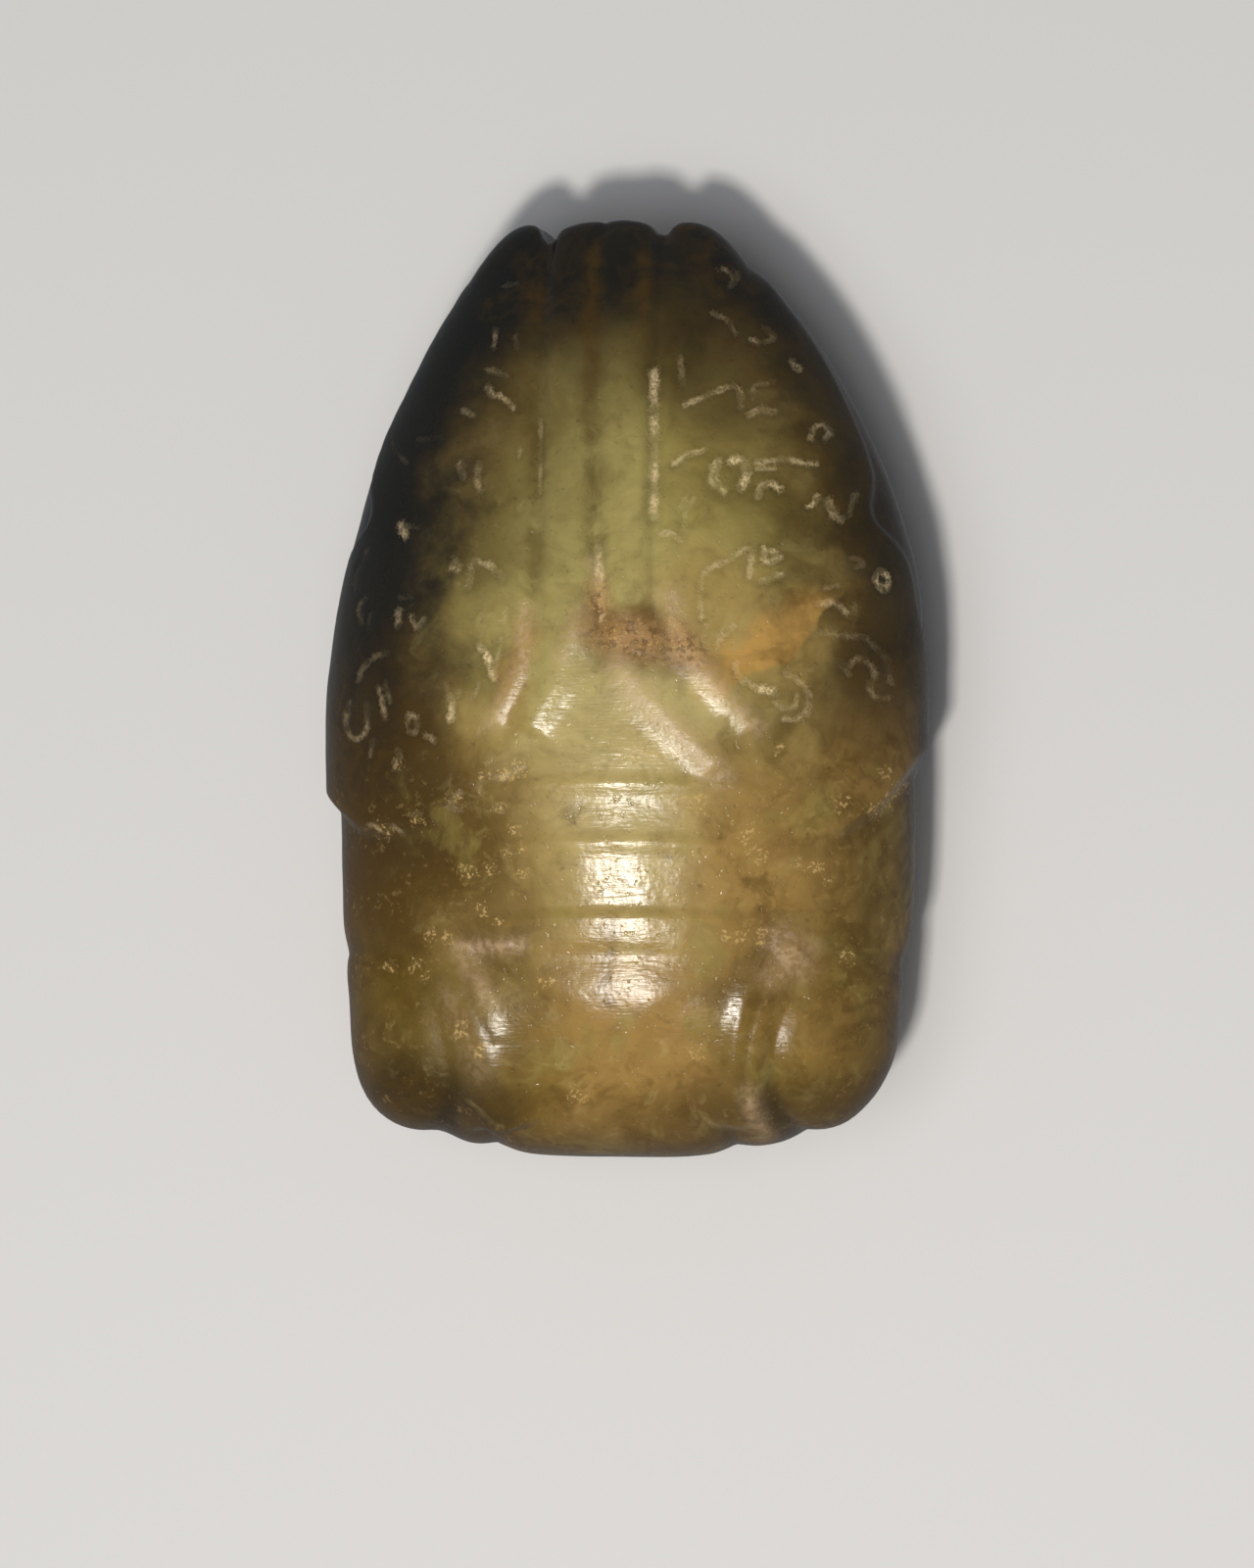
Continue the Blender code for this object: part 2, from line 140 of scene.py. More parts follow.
# The collar: raised bars that part from its point, each (points, width, height at the start and at the end)
COLLAR_BARS = (
    (
        ((0.0, 0.090), (0.053, 0.045), (0.144, -0.022), (0.234, -0.081), (0.301, -0.124), (0.387, -0.188)),
        (2.00 * MM, 0.18 * MM, 0.24 * MM),
    ),
    (
        ((0.200, 0.26), (0.219, 0.182), (0.256, 0.104), (0.334, 0.031), (0.411, -0.037), (0.510, -0.097)),
        (1.50 * MM, 0.22 * MM, 0.34 * MM),
    ),
    (
        ((-0.050, 0.20), (-0.070, 0.139), (-0.109, 0.074),
         (-0.147, 0.009), (-0.195, -0.042), (-0.245, -0.106)),
        (2.10 * MM, 0.26 * MM, 0.34 * MM),
    ),
    (
        ((-0.247, 0.26), (-0.247, 0.156), (-0.249, 0.119),
         (-0.260, 0.046), (-0.294, -0.005), (-0.372, -0.092)),
        (1.30 * MM, 0.22 * MM, 0.34 * MM),
    ),
    (((0.405, -0.035), (0.400, -0.060), (0.37, -0.105), (0.325, -0.120)), (0.55 * MM, 0.16 * MM, 0.16 * MM)),
)

# How the collar's bars and the eyelids taper, as shares of their length: the middle and the width of each end
BAR_START = (0.12, 0.24)
BAR_END = (0.97, 0.06)

# The thorax: beads that cross it, each (place along, width, height, flatness), and the rolls and hollows
# between them, each (start, end, height)
THORAX_CENTRE = 0.045
BEADS = (
    (-0.206, 0.55 * MM, 0.13 * MM, 2),
    (-0.330, 0.60 * MM, 0.14 * MM, 2),
    (-0.500, 1.30 * MM, 0.26 * MM, 4),
)
BEAD_SLOPE = 2.2  # how much gentler a bead is on the side of the head
ROLLS = ((-0.320, -0.214, -0.06 * MM), (-0.488, -0.357, 0.04 * MM), (-0.740, -0.530, 0.10 * MM))
BEAD_SAG = 0.10
BEAD_HALF_LENGTH = 6.2 * MM
BEAD_FADE = 4.6 * MM

# The eyes: domes at the head's corners. Each (across, along, up, half sizes, turn in degrees)
EYE_DOMES = (
    ((0.735, -0.760, 0.10), (5.1 * MM, 6.5 * MM, 9.5 * MM), 14.0),
    ((-0.745, -0.755, 0.10), (5.3 * MM, 6.7 * MM, 9.5 * MM), -11.0),
)
EYE_RISE = 0.85 * MM
EYE_GROOVE = 1.3 * MM
EYE_GROOVE_DEPTH = 0.16 * MM
EYE_GROOVE_FRONT = 1.6  # how much deeper the groove is cut on the front of the head
EYE_GROOVE_PLACE = 1.04  # as a share of the dome's half sizes
EYE_FULLNESS = 0.8
EYE_FRONT = 0.86
EYE_FRONT_FADE = 5 * MM
EYE_LIDS = (
    (
        ((0.600, -0.575), (0.552, -0.632), (0.522, -0.685), (0.497, -0.734), (0.475, -0.817), (0.46, -0.93)),
        (1.35 * MM, 0.20 * MM, 0.48 * MM),
    ),
    (
        ((0.545, -0.545), (0.505, -0.600), (0.470, -0.650), (0.436, -0.734), (0.410, -0.838), (0.39, -0.95)),
        (1.35 * MM, 0.20 * MM, 0.42 * MM),
    ),
    (
        ((-0.52, -0.55), (-0.492, -0.61), (-0.467, -0.665), (-0.438, -0.717), (-0.41, -0.77), (-0.36, -0.95)),
        (2.90 * MM, 0.28 * MM, 0.90 * MM),
    ),
    (((-0.50, -0.550), (-0.43, -0.547), (-0.37, -0.547), (-0.30, -0.556)), (0.60 * MM, 0.12 * MM, 0.12 * MM)),
)
BROW_KNOBS = ((0.600, -0.560, 1.6 * MM, 0.35 * MM), (-0.470, -0.560, 1.3 * MM, 0.28 * MM))

# The face: a shield between the eyes, and the lip below it
SHIELD = ((-0.36, -0.54), (-0.25, -0.605), (-0.11, -0.69), (0.03, -0.81), (0.16, -0.71), (0.36, -0.57))
SHIELD_RISE = 0.18 * MM
SHIELD_EDGE = 2.2 * MM
SHIELD_BACK = -0.60
SHIELD_BACK_FADE = 4 * MM
LIP = (-0.42, 0.36)
LIP_RISE = 0.42 * MM
LIP_LEVEL = -0.02
LIP_HEIGHT = 0.34
LIP_FULLNESS = 0.7
LIP_FRONT = 0.93
LIP_FRONT_FADE = 3 * MM
LIP_CREASE = 1.8 * MM
LIP_CREASE_DEPTH = 0.30 * MM
LIP_CREASE_REACH = 0.36
LIP_CREASE_FADE = 0.16
MOUTH_DEPTH = 0.42 * MM
MOUTH_LEVEL = -0.17
MOUTH_BOW = 0.4
MOUTH_START = 0.4
MOUTH_FADE = 0.5
GROOVE_FULL = 0.35 * MM  # how deep a groove is before it has all its dark colour

# The belly: plain cross cuts on the abdomen and a folded leg on each side of them
BELLY_CUTS = (0.08, 0.24, 0.40, 0.56, 0.72)
BELLY_CUT_WIDTH = 0.7 * MM
BELLY_CUT_DEPTH = 0.30 * MM
BELLY_CUT_SAG = 0.10
BELLY_CUT_REACH = 0.62
BELLY_CUT_FADE = 0.25
LEG_WIDTH = 1.3 * BELLY_CUT_WIDTH
LEG = ((0.10, -0.60), (0.30, -0.42), (0.41, -0.20), (0.43, 0.0))

# How far below the girdle the back's carving ends and the belly's starts, as shares of the thickness
BACK_EDGE = 0.03
BACK_FADE = 0.14
BELLY_EDGE = 0.2
BELLY_FADE = 0.12

# The engraver's strokes, each (width, strength, points), in millimetres in plan
RIGHT_WING = (
    (0.55, 0.5, ((6.4, 26.6), (7.5, 26.1), (7.2, 25.4))),
    (0.5, 0.3, ((6.2, 23.6), (7.3, 23.0), (7.7, 22.2))),
    (0.6, 0.6, ((8.7, 21.9), (9.1, 21.7))),
    (0.5, 0.3, ((9.4, 22.7), (10.0, 22.0), (9.5, 21.7))),
    (0.55, 0.5, ((11.1, 20.5), (11.6, 19.9))),
    (0.6, 0.3, ((4.4, 20.8), (4.6, 19.0))),
    (0.6, 0.6, ((4.8, 17.6), (6.2, 18.2), (8.0, 18.8), (8.3, 17.4))),
    (0.5, 0.3, ((9.0, 18.0), (9.0, 18.8), (10.1, 19.1))),
    (0.7, 0.8, ((8.8, 17.0), (9.5, 17.3), (10.2, 17.2))),
    (0.55, 0.6, ((12.5, 15.5), (12.7, 16.2), (13.2, 16.4), (13.6, 15.9), (13.3, 15.4))),
    (0.6, 0.7, ((4.3, 13.8), (5.0, 14.3), (6.1, 14.7))),
    (0.9, 0.8, ((7.0, 13.9), (6.8, 13.1), (7.0, 12.5), (7.5, 12.1))),
    (0.9, 0.9, ((7.9, 14.0), (8.5, 14.0), (8.8, 13.0), (8.5, 12.3))),
    (0.6, 0.7, ((9.4, 13.9), (10.7, 14.1), (12.9, 13.8))),
    (0.5, 0.5, ((9.4, 13.5), (10.5, 13.5))),
    (0.7, 0.8, ((9.6, 11.8), (9.7, 12.4), (10.4, 12.5), (10.9, 12.2))),
    (0.5, 0.9, ((12.5, 11.1), (12.8, 11.2), (13.1, 11.8))),
    (0.8, 1.0, ((13.7, 11.5), (13.9, 11.0), (14.5, 10.3))),
    (0.6, 0.3, ((15.2, 11.9), (14.9, 10.6))),
    (0.55, 0.35, ((4.8, 10.9), (5.1, 11.6), (5.0, 9.4))),
    (0.45, 0.35, ((5.6, 11.6), (5.2, 10.7))),
    (0.6, 0.6, ((3.6, 9.3), (4.2, 9.4), (4.9, 8.9))),
    (0.6, 0.55, ((6.3, 4.0), (6.2, 5.8), (6.5, 7.0), (7.2, 7.4),
                 (8.2, 7.9), (9.2, 8.5), (9.3, 7.6), (9.2, 6.6))),
    (0.6, 0.9, ((10.0, 8.5), (10.2, 7.6), (11.1, 7.9))),
    (0.45, 0.8, ((10.4, 8.4), (10.8, 8.2))),
    (0.65, 0.9, ((10.0, 6.4), (11.1, 6.8))),
    (0.55, 0.9, ((16.9, 7.2), (17.3, 6.8), (17.2, 5.9), (16.8, 6.3), (16.7, 6.9), (16.9, 7.2))),
    (0.5, 0.2, ((15.2, 7.9), (15.6, 7.9), (15.9, 7.5), (15.5, 7.3))),
    (0.55, 0.3, ((13.8, 6.0), (14.5, 6.2))),
    (0.7, 0.6, ((13.5, 5.0), (14.2, 5.1), (14.9, 4.5))),
    (0.5, 0.3, ((15.5, 5.0), (15.5, 4.4))),
    (0.6, 0.25, ((13.6, 3.2), (14.8, 3.0), (15.9, 2.9), (16.6, 2.3), (17.1, 1.6), (17.2, 0.1))),
    (0.6, 0.35, ((15.0, 1.1), (15.6, 1.6), (16.3, 1.1), (16.4, 0.5),
                 (16.1, -0.1), (16.5, -0.9), (17.0, -0.8))),
    (0.45, 0.2, ((14.6, 1.1), (15.1, 0.5))),
    (0.6, 0.4, ((8.4, 1.2), (8.6, 0.3), (9.1, 0.0), (9.7, -0.3))),
    (0.85, 1.0, ((9.9, -0.4), (10.7, -0.6))),
    (0.6, 0.45, ((11.4, 0.6), (11.7, 0.4), (12.2, 0.1), (12.7, -0.5),
                 (12.7, -1.5), (12.2, -2.2), (11.3, -2.3))),
    (0.5, 0.4, ((10.7, -1.2), (11.3, -1.6), (11.9, -1.5), (12.0, -0.8))),
    (0.5, 0.35, ((6.5, 3.7), (6.6, 2.0), (7.2, 1.8))),
    (0.5, 0.35, ((7.5, 3.2), (7.2, 2.0))),
    (0.5, 0.35, ((8.3, 3.6), (7.6, 2.8))),
    (0.55, 0.3, ((4.5, 5.5), (4.7, 4.6), (5.2, 3.9))),
)
LEFT_WING = (
    (0.5, 0.2, ((-7.6, 25.6), (-6.6, 25.7))),
    (0.55, 0.4, ((-7.8, 22.7), (-7.8, 21.5))),
    (0.5, 0.2, ((-6.4, 22.2), (-6.3, 21.5))),
    (0.55, 0.3, ((-8.1, 20.1), (-6.7, 19.6))),
    (0.75, 0.8, ((-8.0, 18.9), (-7.7, 18.4))),
    (0.55, 0.6, ((-7.2, 18.4), (-6.7, 18.0), (-6.2, 17.5))),
    (0.65, 0.4, ((-9.6, 17.4), (-8.9, 17.1))),
    (0.5, 0.15, ((-12.7, 15.6), (-11.6, 15.6), (-10.9, 15.7))),
    (0.5, 0.2, ((-14.6, 15.6), (-14.1, 14.8), (-13.3, 14.1))),
    (0.75, 0.5, ((-9.6, 14.0), (-9.3, 13.1))),
    (0.7, 0.5, ((-8.2, 13.9), (-8.4, 13.1), (-8.1, 12.2))),
    (0.45, 0.2, ((-9.5, 12.1), (-9.1, 11.5))),
    (0.45, 0.3, ((-5.6, 14.8), (-5.6, 14.3))),
    (0.5, 0.2, ((-5.4, 11.3), (-5.4, 10.9))),
    (0.5, 0.4, ((-4.4, 16.8), (-4.3, 14.7), (-4.2, 12.1))),
    (0.9, 0.9, ((-13.5, 10.1), (-13.3, 9.5))),
    (0.45, 0.2, ((-13.0, 10.1), (-12.2, 9.9))),
    (0.75, 0.8, ((-9.9, 7.3), (-9.4, 7.3), (-9.6, 7.8))),
    (0.7, 0.6, ((-8.7, 6.1), (-8.5, 6.9), (-8.6, 7.6), (-7.7, 7.6), (-6.4, 6.7))),
    (0.55, 0.3, ((-13.4, 5.5), (-12.6, 5.5))),
    (0.8, 0.5, ((-13.5, 4.7), (-13.5, 3.7))),
    (0.65, 0.5, ((-12.6, 4.3), (-12.2, 3.6), (-11.7, 4.1))),
    (0.5, 0.15, ((-16.0, 8.6), (-17.0, 7.1), (-16.9, 6.1))),
    (0.55, 0.3, ((-16.0, 5.5), (-16.4, 5.1), (-16.2, 3.9))),
    (0.45, 0.15, ((-15.5, 4.5), (-15.7, 3.5))),
    (0.6, 0.3, ((-16.1, 0.2), (-15.8, 1.0), (-14.9, 1.8), (-14.1, 2.0))),
    (0.6, 0.4, ((-16.6, -1.1), (-16.8, -2.8), (-16.1, -3.5), (-15.5, -3.1), (-15.4, -1.3))),
    (0.55, 0.5, ((-14.6, -0.2), (-14.3, -1.2), (-14.0, -2.2))),
    (0.45, 0.3, ((-14.1, 0.1), (-13.7, -1.2))),
    (0.5, 0.3, ((-14.9, -3.6), (-15.1, -4.6))),
    (0.55, 0.4, ((-13.2, -4.1), (-13.0, -4.6))),
    (0.45, 0.3, ((-13.4, -4.8), (-13.4, -5.4))),
    (0.55, 0.45, ((-12.6, -2.6), (-12.4, -1.9), (-11.9, -2.2), (-12.1, -3.1), (-12.5, -3.0))),
    (0.6, 0.5, ((-11.3, -3.3), (-10.8, -3.6))),
    (0.55, 0.2, ((-10.0, -0.1), (-9.7, -0.8))),
    (0.8, 0.8, ((-9.6, -1.0), (-9.7, -2.2))),
    (0.5, 0.2, ((-9.1, -0.5), (-9.1, -0.9))),
    (0.45, 0.3, ((-7.8, -0.0), (-8.1, -0.9))),
    (0.6, 0.3, ((-6.0, 4.6), (-6.3, 3.8))),
    (0.5, 0.3, ((-6.4, 2.9), (-6.4, 2.1))),
    (0.75, 1.0, ((-7.8, 2.3), (-7.3, 1.7), (-6.8, 0.3))),
    (0.55, 0.6, ((-6.5, 1.8), (-6.8, 0.7))),
    (0.6, 0.3, ((-7.6, -2.9), (-7.8, -3.3))),
)
THORAX_MARKS = (
    (0.6, 0.5, ((-6.7, -6.0), (-5.8, -5.8))),
    (0.55, 0.5, ((-5.5, -5.7), (-4.9, -5.3))),
    (0.5, 0.3, ((-9.5, -7.3), (-9.0, -6.8))),
    (0.6, 0.3, ((-9.8, -7.7), (-9.2, -8.0))),
    (0.45, 0.2, ((-6.6, -7.6), (-6.3, -8.1))),
    (0.55, 0.4, ((-15.7, -9.2), (-15.0, -8.9), (-14.6, -9.2))),
    (0.6, 0.4, ((-14.0, -9.4), (-13.6, -9.0), (-13.1, -9.5))),
    (0.5, 0.3, ((-12.3, -8.3), (-11.7, -8.1))),
)

# Where the polish never reached, by the collar's point, each centre, half sizes and turn
RAW_PATCHES = (
    ((2.0, 2.9), (3.6, 1.6), -10.0),
    ((-0.1, 4.9), (0.9, 1.9), 8.0),
    ((5.2, 2.2), (1.3, 2.0), 35.0),
)
RAW_HEIGHT = 0.10 * MM
RAW_CRUMBS = 0.45 * MM
RAW_EDGE = 1.3  # where a raw patch ends, as a share of its half sizes

# Fine lines that stayed white, each (width, strength, points) in millimetres
WHITE_LINES = (
    (0.90, 0.9, ((2.8, 19.9), (3.0, 15.0), (3.15, 10.5))),
    (0.90, 1.0, ((-0.3, 8.7), (-0.1, 6.5), (0.0, 4.2))),
)

# Places that rubbing or breaking has robbed of their polish, each (width, strength, points) in millimetres.
# By the left eye and on its ridge their pale colour paints the eye's sheen and the ridge's highlight.
WORN_AND_SHEEN_PLACES = (
    (1.5, 0.8, ((1.2, 1.2), (2.6, -0.9), (4.4, -2.8), (5.7, -4.1), (7.2, -5.6))),
    (1.2, 0.8, ((4.3, 5.5), (5.0, 3.1), (6.5, 0.9), (8.0, -1.1), (9.7, -2.7))),
    (1.2, 0.5, ((-1.3, 4.6), (-1.9, 2.6), (-2.4, 1.4))),
    (1.0, 0.7, ((-4.9, 4.6), (-5.1, 1.4), (-5.7, -0.2), (-7.0, -2.5))),
    (1.9, 0.9, ((11.2, -16.3), (11.9, -17.6))),
    (1.5, 0.7, ((12.5, -16.8), (10.6, -18.4))),
    (1.0, 0.8, ((-9.4, -16.7), (-7.3, -16.6), (-5.5, -16.5))),
    (1.4, 0.5, ((-9.2, -17.0), (-8.4, -18.5), (-7.9, -19.6))),
    (1.6, 0.35, ((-10.2, -19.8), (-9.5, -21.5), (-8.8, -22.9), (-8.3, -24.5))),
    (1.0, 0.6, ((8.9, -25.8), (9.1, -27.4), (9.4, -28.6))),
    (0.8, 0.6, ((-0.6, 7.6), (-0.2, 5.6), (-1.0, 3.2))),
)

# Places that the polish barely reached, each (width, strength, points) in millimetres
DULL_PLACES = (
    (3.2, 1.0, ((-11.6, -18.0), (-11.0, -21.5), (-9.8, -24.5))),
    (2.0, 0.2, ((11.8, -19.6), (11.3, -21.2), (10.8, -23.0))),
)

# Small chips that shine with light specks, each (across, along, radius) in millimetres
CHIPS = (
    (-5.2, -5.4, 0.5), (-6.2, -5.8, 0.5), (-7.5, -5.6, 0.35), (-9.5, -7.3, 0.45), (-6.5, -7.8, 0.3),
    (-5.6, -9.3, 0.35), (-5.1, -10.3, 0.3), (-5.0, -11.9, 0.35), (-8.8, -11.9, 0.45),
    (-7.2, -11.6, 0.35), (-6.1, -10.7, 0.3), (-5.7, -13.2, 0.2), (-7.8, -14.4, 0.35),
    (-6.7, -15.0, 0.25), (-11.4, -15.9, 0.4), (-10.3, -16.2, 0.35), (-14.6, -9.3, 0.45),
    (-12.1, -8.5, 0.35), (-13.4, -5.1, 0.3),
    (-12.6, -17.9, 0.35), (-11.9, -18.6, 0.35), (-14.3, -18.0, 0.3), (5.8, -7.5, 0.7),
    (8.3, -8.7, 0.15), (9.2, -9.4, 0.45), (9.4, -10.4, 0.3), (10.0, -10.9, 0.4), (12.1, -11.3, 0.3),
    (13.3, -11.6, 0.4), (13.9, -12.4, 0.25), (7.8, -15.9, 0.3), (8.7, -15.9, 0.35), (10.0, -15.9, 0.4),
    (15.0, -17.3, 0.4), (16.7, -8.0, 0.35), (17.4, -7.6, 0.3), (17.6, -7.1, 0.3), (18.1, -6.5, 0.3),
    (17.4, -5.6, 0.35), (14.8, -7.6, 0.4), (11.1, -4.2, 0.25), (2.3, -4.6, 0.5), (3.3, -4.6, 0.35),
    (-3.7, -18.9, 0.45), (-4.3, -19.6, 0.25), (-9.4, -21.9, 0.5), (-8.0, -23.2, 0.4),
    (-1.9, -26.1, 0.5), (5.7, -23.3, 0.4), (-0.5, 2.2, 0.2), (-0.2, 6.3, 0.5), (-0.1, 5.0, 0.5),
    (1.0, 2.7, 0.5), (4.7, 3.7, 0.45),
)
CHIP_REACH = 2.4  # how far a chip's crumbs lie about it, in radii

# Brown lines along the strip's grooves and beside the left eye, each (width, strength, points) in millimetres
BROWN_GROOVE_LINES = (
    (1.2, 1.0, ((-1.6, 27.5), (-1.3, 21.0), (-0.9, 15.0), (-0.5, 9.5))),
    (1.0, 0.8, ((-5.6, 27.5), (-4.9, 20.0), (-4.5, 12.0), (-4.4, 6.0))),
    (0.6, 1.0, ((-8.8, -18.8), (-8.4, -20.2), (-7.8, -21.5), (-7.3, -22.6))),
    (1.0, 1.0, ((1.6, 27.5), (2.2, 22.0), (2.7, 19.0))),
)
BROWN_LINE_DEPTH = 0.06 * MM

# The strokes: how they are cut. Distances are in half widths of the stroke
NO_STROKE = 9.0
STROKE_MARGIN = 4
STROKE_SOFTNESS = 1.15
STROKE_STEPS = 4
FAINT_DEPTH = 0.3  # the share of the depth that the faintest stroke has, and what a strong one adds
STRONG_DEPTH = 0.7
ENGRAVED_FROM = GIRDLE - 0.1

# The lumps that polishing by hand leaves, and the steps between the noise of one seed and the next
LARGE_LUMPS = 5.0 * MM
SMALL_LUMPS = 1.8 * MM
SMALL_LUMP_SHARE = 0.4
SEED_STEPS = (7.1, 3.3, 5.7)

# How the stone's colour changes over the back, in millimetres: colour, centre, half sizes, turn, softness of
# the edge and strength. Later ones lie over earlier ones.
STAINS = (
    ("heart", (1.2, 8.5), (9.0, 12.5), 0.0, 0.75, 1.0),
    ("green", (0.8, 3.5), (9.5, 7.5), 0.0, 0.70, 0.8),
    ("honey", (7.0, 4.0), (4.5, 4.0), 0.0, 0.70, 0.8),
    ("honey", (2.0, -11.0), (9.5, 8.5), 0.0, 0.70, 0.9),
    ("amber", (9.5, -12.5), (5.5, 6.5), 15.0, 0.60, 0.8),
    ("amber", (1.5, -23.0), (7.5, 6.0), 0.0, 0.60, 1.0),
    ("pale", (1.2, -3.0), (5.5, 7.5), 0.0, 0.70, 0.65),
    ("pale", (2.0, -10.5), (3.6, 4.5), 0.0, 0.80, 0.5),
    ("bronze", (-13.0, -21.5), (6.0, 6.0), 0.0, 0.50, 0.8),
    ("bronze", (13.0, -21.5), (6.0, 6.0), 0.0, 0.50, 0.8),
    ("russet", (-13.0, -12.0), (6.5, 5.0), 0.0, 0.60, 0.8),
    ("russet", (-15.5, -2.5), (5.0, 8.0), 0.0, 0.60, 0.9),
    ("russet", (-11.0, -5.5), (5.0, 2.5), 0.0, 0.70, 0.6),
    ("russet", (15.0, 2.0), (4.0, 5.0), 0.0, 0.60, 0.5),
    ("russet", (9.5, -18.0), (3.0, 2.6), 0.0, 0.70, 0.4),
    ("umber", (-13.0, -27.0), (7.0, 3.0), 0.0, 0.60, 0.7),
    ("umber", (13.0, -27.0), (7.0, 2.5), 0.0, 0.60, 0.5),
    ("russet", (0.0, -29.5), (16.0, 3.0), 0.0, 0.60, 0.5),
    ("green", (-0.6, 13.5), (4.0, 7.0), 0.0, 0.70, 0.8),
    ("umber", (10.0, 16.0), (4.5, 3.5), 0.0, 0.80, 0.3),
    ("umber", (6.6, 21.5), (3.4, 4.0), 0.0, 0.70, 0.5),
    ("russet", (-8.2, -9.5), (3.4, 4.0), 0.0, 0.70, 0.6),
    ("umber", (-14.8, -6.0), (4.6, 4.6), 0.0, 0.60, 0.6),
    ("umber", (-11.5, 1.0), (4.0, 3.0), 0.0, 0.70, 0.4),
    ("umber", (-13.0, -25.5), (5.0, 3.5), 0.0, 0.60, 0.5),
    ("honey", (13.8, 0.6), (2.6, 2.4), 0.0, 0.70, 0.8),
    ("russet", (15.6, 1.2), (1.6, 2.1), 0.0, 0.60, 0.6),
    ("amber", (16.8, -4.8), (2.8, 3.6), 0.0, 0.60, 0.8),
    ("amber", (13.8, -20.5), (4.0, 4.2), 0.0, 0.60, 0.5),
    ("bronze", (-4.4, -24.0), (2.0, 3.0), 0.0, 0.60, 0.5),
    ("amber", (-5.3, 1.5), (1.0, 3.4), -12.0, 0.60, 0.7),
    ("pale", (5.4, 0.2), (2.0, 4.0), 42.0, 0.50, 1.0),
    ("russet", (2.4, 2.6), (4.2, 1.9), -12.0, 0.50, 0.85),
)

# The ochre skin on the right wing: centre, half sizes, turn and softness. Its sharp lower edge is the line
# where the first share of x less the second share of y is the third number, in millimetres
OCHRE_PATCH = ((11.0, 3.0), (4.3, 2.0), 45.0, 0.45)
OCHRE_LINE = (0.70, 0.71, 6.35)
OCHRE_SOFTNESS = 0.20

# The patterns in the stone, each (size in millimetres, detail, roughness, distortion)
WAVES = (4.0, 4.0, 0.6)
CLOUDS = (7.0, 4.0, 0.55, 0.6)
VEILS = (2.4, 5.0, 0.62)
VEINS = (3.2, 3.0, 0.5)
MOTTLE = (3.4, 4.0, 0.6, 0.3)
FLECKS = (0.55, 3.0, 0.65)
CRUMBS = (0.24, 2.0, 0.7)
FADING = (1.1, 2.0, 0.5)
LUMPS = (2.2, 3.0, 0.55)
SCRATCHES = (0.28, 2.0, 0.6)
PITS = (0.42, 1.0, 0.5)
# How far the patterns are pushed about, each (size of the clouds, amount) in millimetres
LOOSE_SHIFT = (9.0, 7.0)
CLOSE_SHIFT = (1.6, 1.2)

# The skin: heights are in millimetres, and the dullness is added to the roughness of the polish
POLISH = 0.21
POLISH_CHANGE = 0.07
CUT_DULLNESS = 0.25
RAW_DULLNESS = 0.30
RUBBED_DULLNESS = 0.20
BARELY_POLISHED = 0.30
GRAIN_HEIGHT = 0.004
DULL_GRAIN_HEIGHT = 0.10
LUMP_HEIGHT = 0.05
FLECK_HEIGHT = 0.011
SCRATCH_HEIGHT = 0.014
SCRATCH_STRETCH = (0.22, 1.6, 1.0)
PIT_HEIGHT = -0.02
CUT_DEPTH = 0.03
JADE_CONSTANTS = {
    "IOR": 1.5,
    "Specular IOR Level": 0.40,
    "Subsurface Weight": 0.35,
    "Subsurface Radius": (1.0, 0.75, 0.25),
    "Subsurface Scale": 1.8 * MM,
}

FLOOR_SIZE = 2.4
FLOOR_ROUGHNESS = 0.6
AIM = (0.0, -6.05 * MM, 9.0 * MM)
SENSOR = 36.0
NEAR_CLIP = 0.01
FAR_CLIP = 10.0
AIR_COLOUR = (0.80, 0.82, 0.86, 1.0)
AIR_STRENGTH = 0.13
AIR_REFLECTED = 0.22  # what polished stone mirrors at its edges
# Lights: name, place, size, which power and colour
LIGHTS = (
    ("key", (-0.02, -0.16, 0.53), 0.055, "key", (1.0, 0.94, 0.85)),
    ("soft", (-0.06, -0.10, 0.62), 0.40, "fill", (1.0, 1.0, 1.0)),
)

# The fine mesh: cells across, along and up the sides, before the back is cut once more
CELLS_ACROSS = 96
CELLS_ALONG = 150
CELLS_UP = 28
BACK_REACH = 0.93
BELLY_REACH = 0.86
BACK_LEVEL = 0.999  # above it a corner of the cube lies on its top
SIDE_LEVEL = 0.9999
MOST_CELLS = 100  # what one round of cuts makes
CURVE_STEPS = 28
# Between which shares of the box the skin is looked for along a ray, and how often that gap is halved
NEAREST_SKIN = 0.2
FARTHEST_SKIN = 1.8
HALVINGS = 30


def eased(stations, at):
    """A smooth line through the stations, (place, value) pairs, read at the places given."""
    places, values = np.array(stations, float).T
    at = np.clip(at, places[0], places[-1])
    slopes = np.gradient(values, places)
    cell = np.clip(np.searchsorted(places, at) - 1, 0, len(places) - 2)
    gap = places[cell + 1] - places[cell]
    share = np.clip((at - places[cell]) / gap, 0.0, 1.0)
    rise = share * share * (3 - 2 * share)
    start_pull = share * (1 - share) ** 2 * gap * slopes[cell]
    end_pull = share * share * (1 - share) * gap * slopes[cell + 1]
    return values[cell] * (1 - rise) + values[cell + 1] * rise + start_pull - end_pull


def ramp(value, width):
    """0 below minus half the width, 1 above plus half of it, and smooth between."""
    share = np.clip(value / width + 0.5, 0.0, 1.0)
    return share * share * (3 - 2 * share)


def bump(distance, width):
    """1 on the line and near 0 a width away, rounded like a bead."""
    return np.exp(-((distance / (RIDGE_FALL * width)) ** 2))


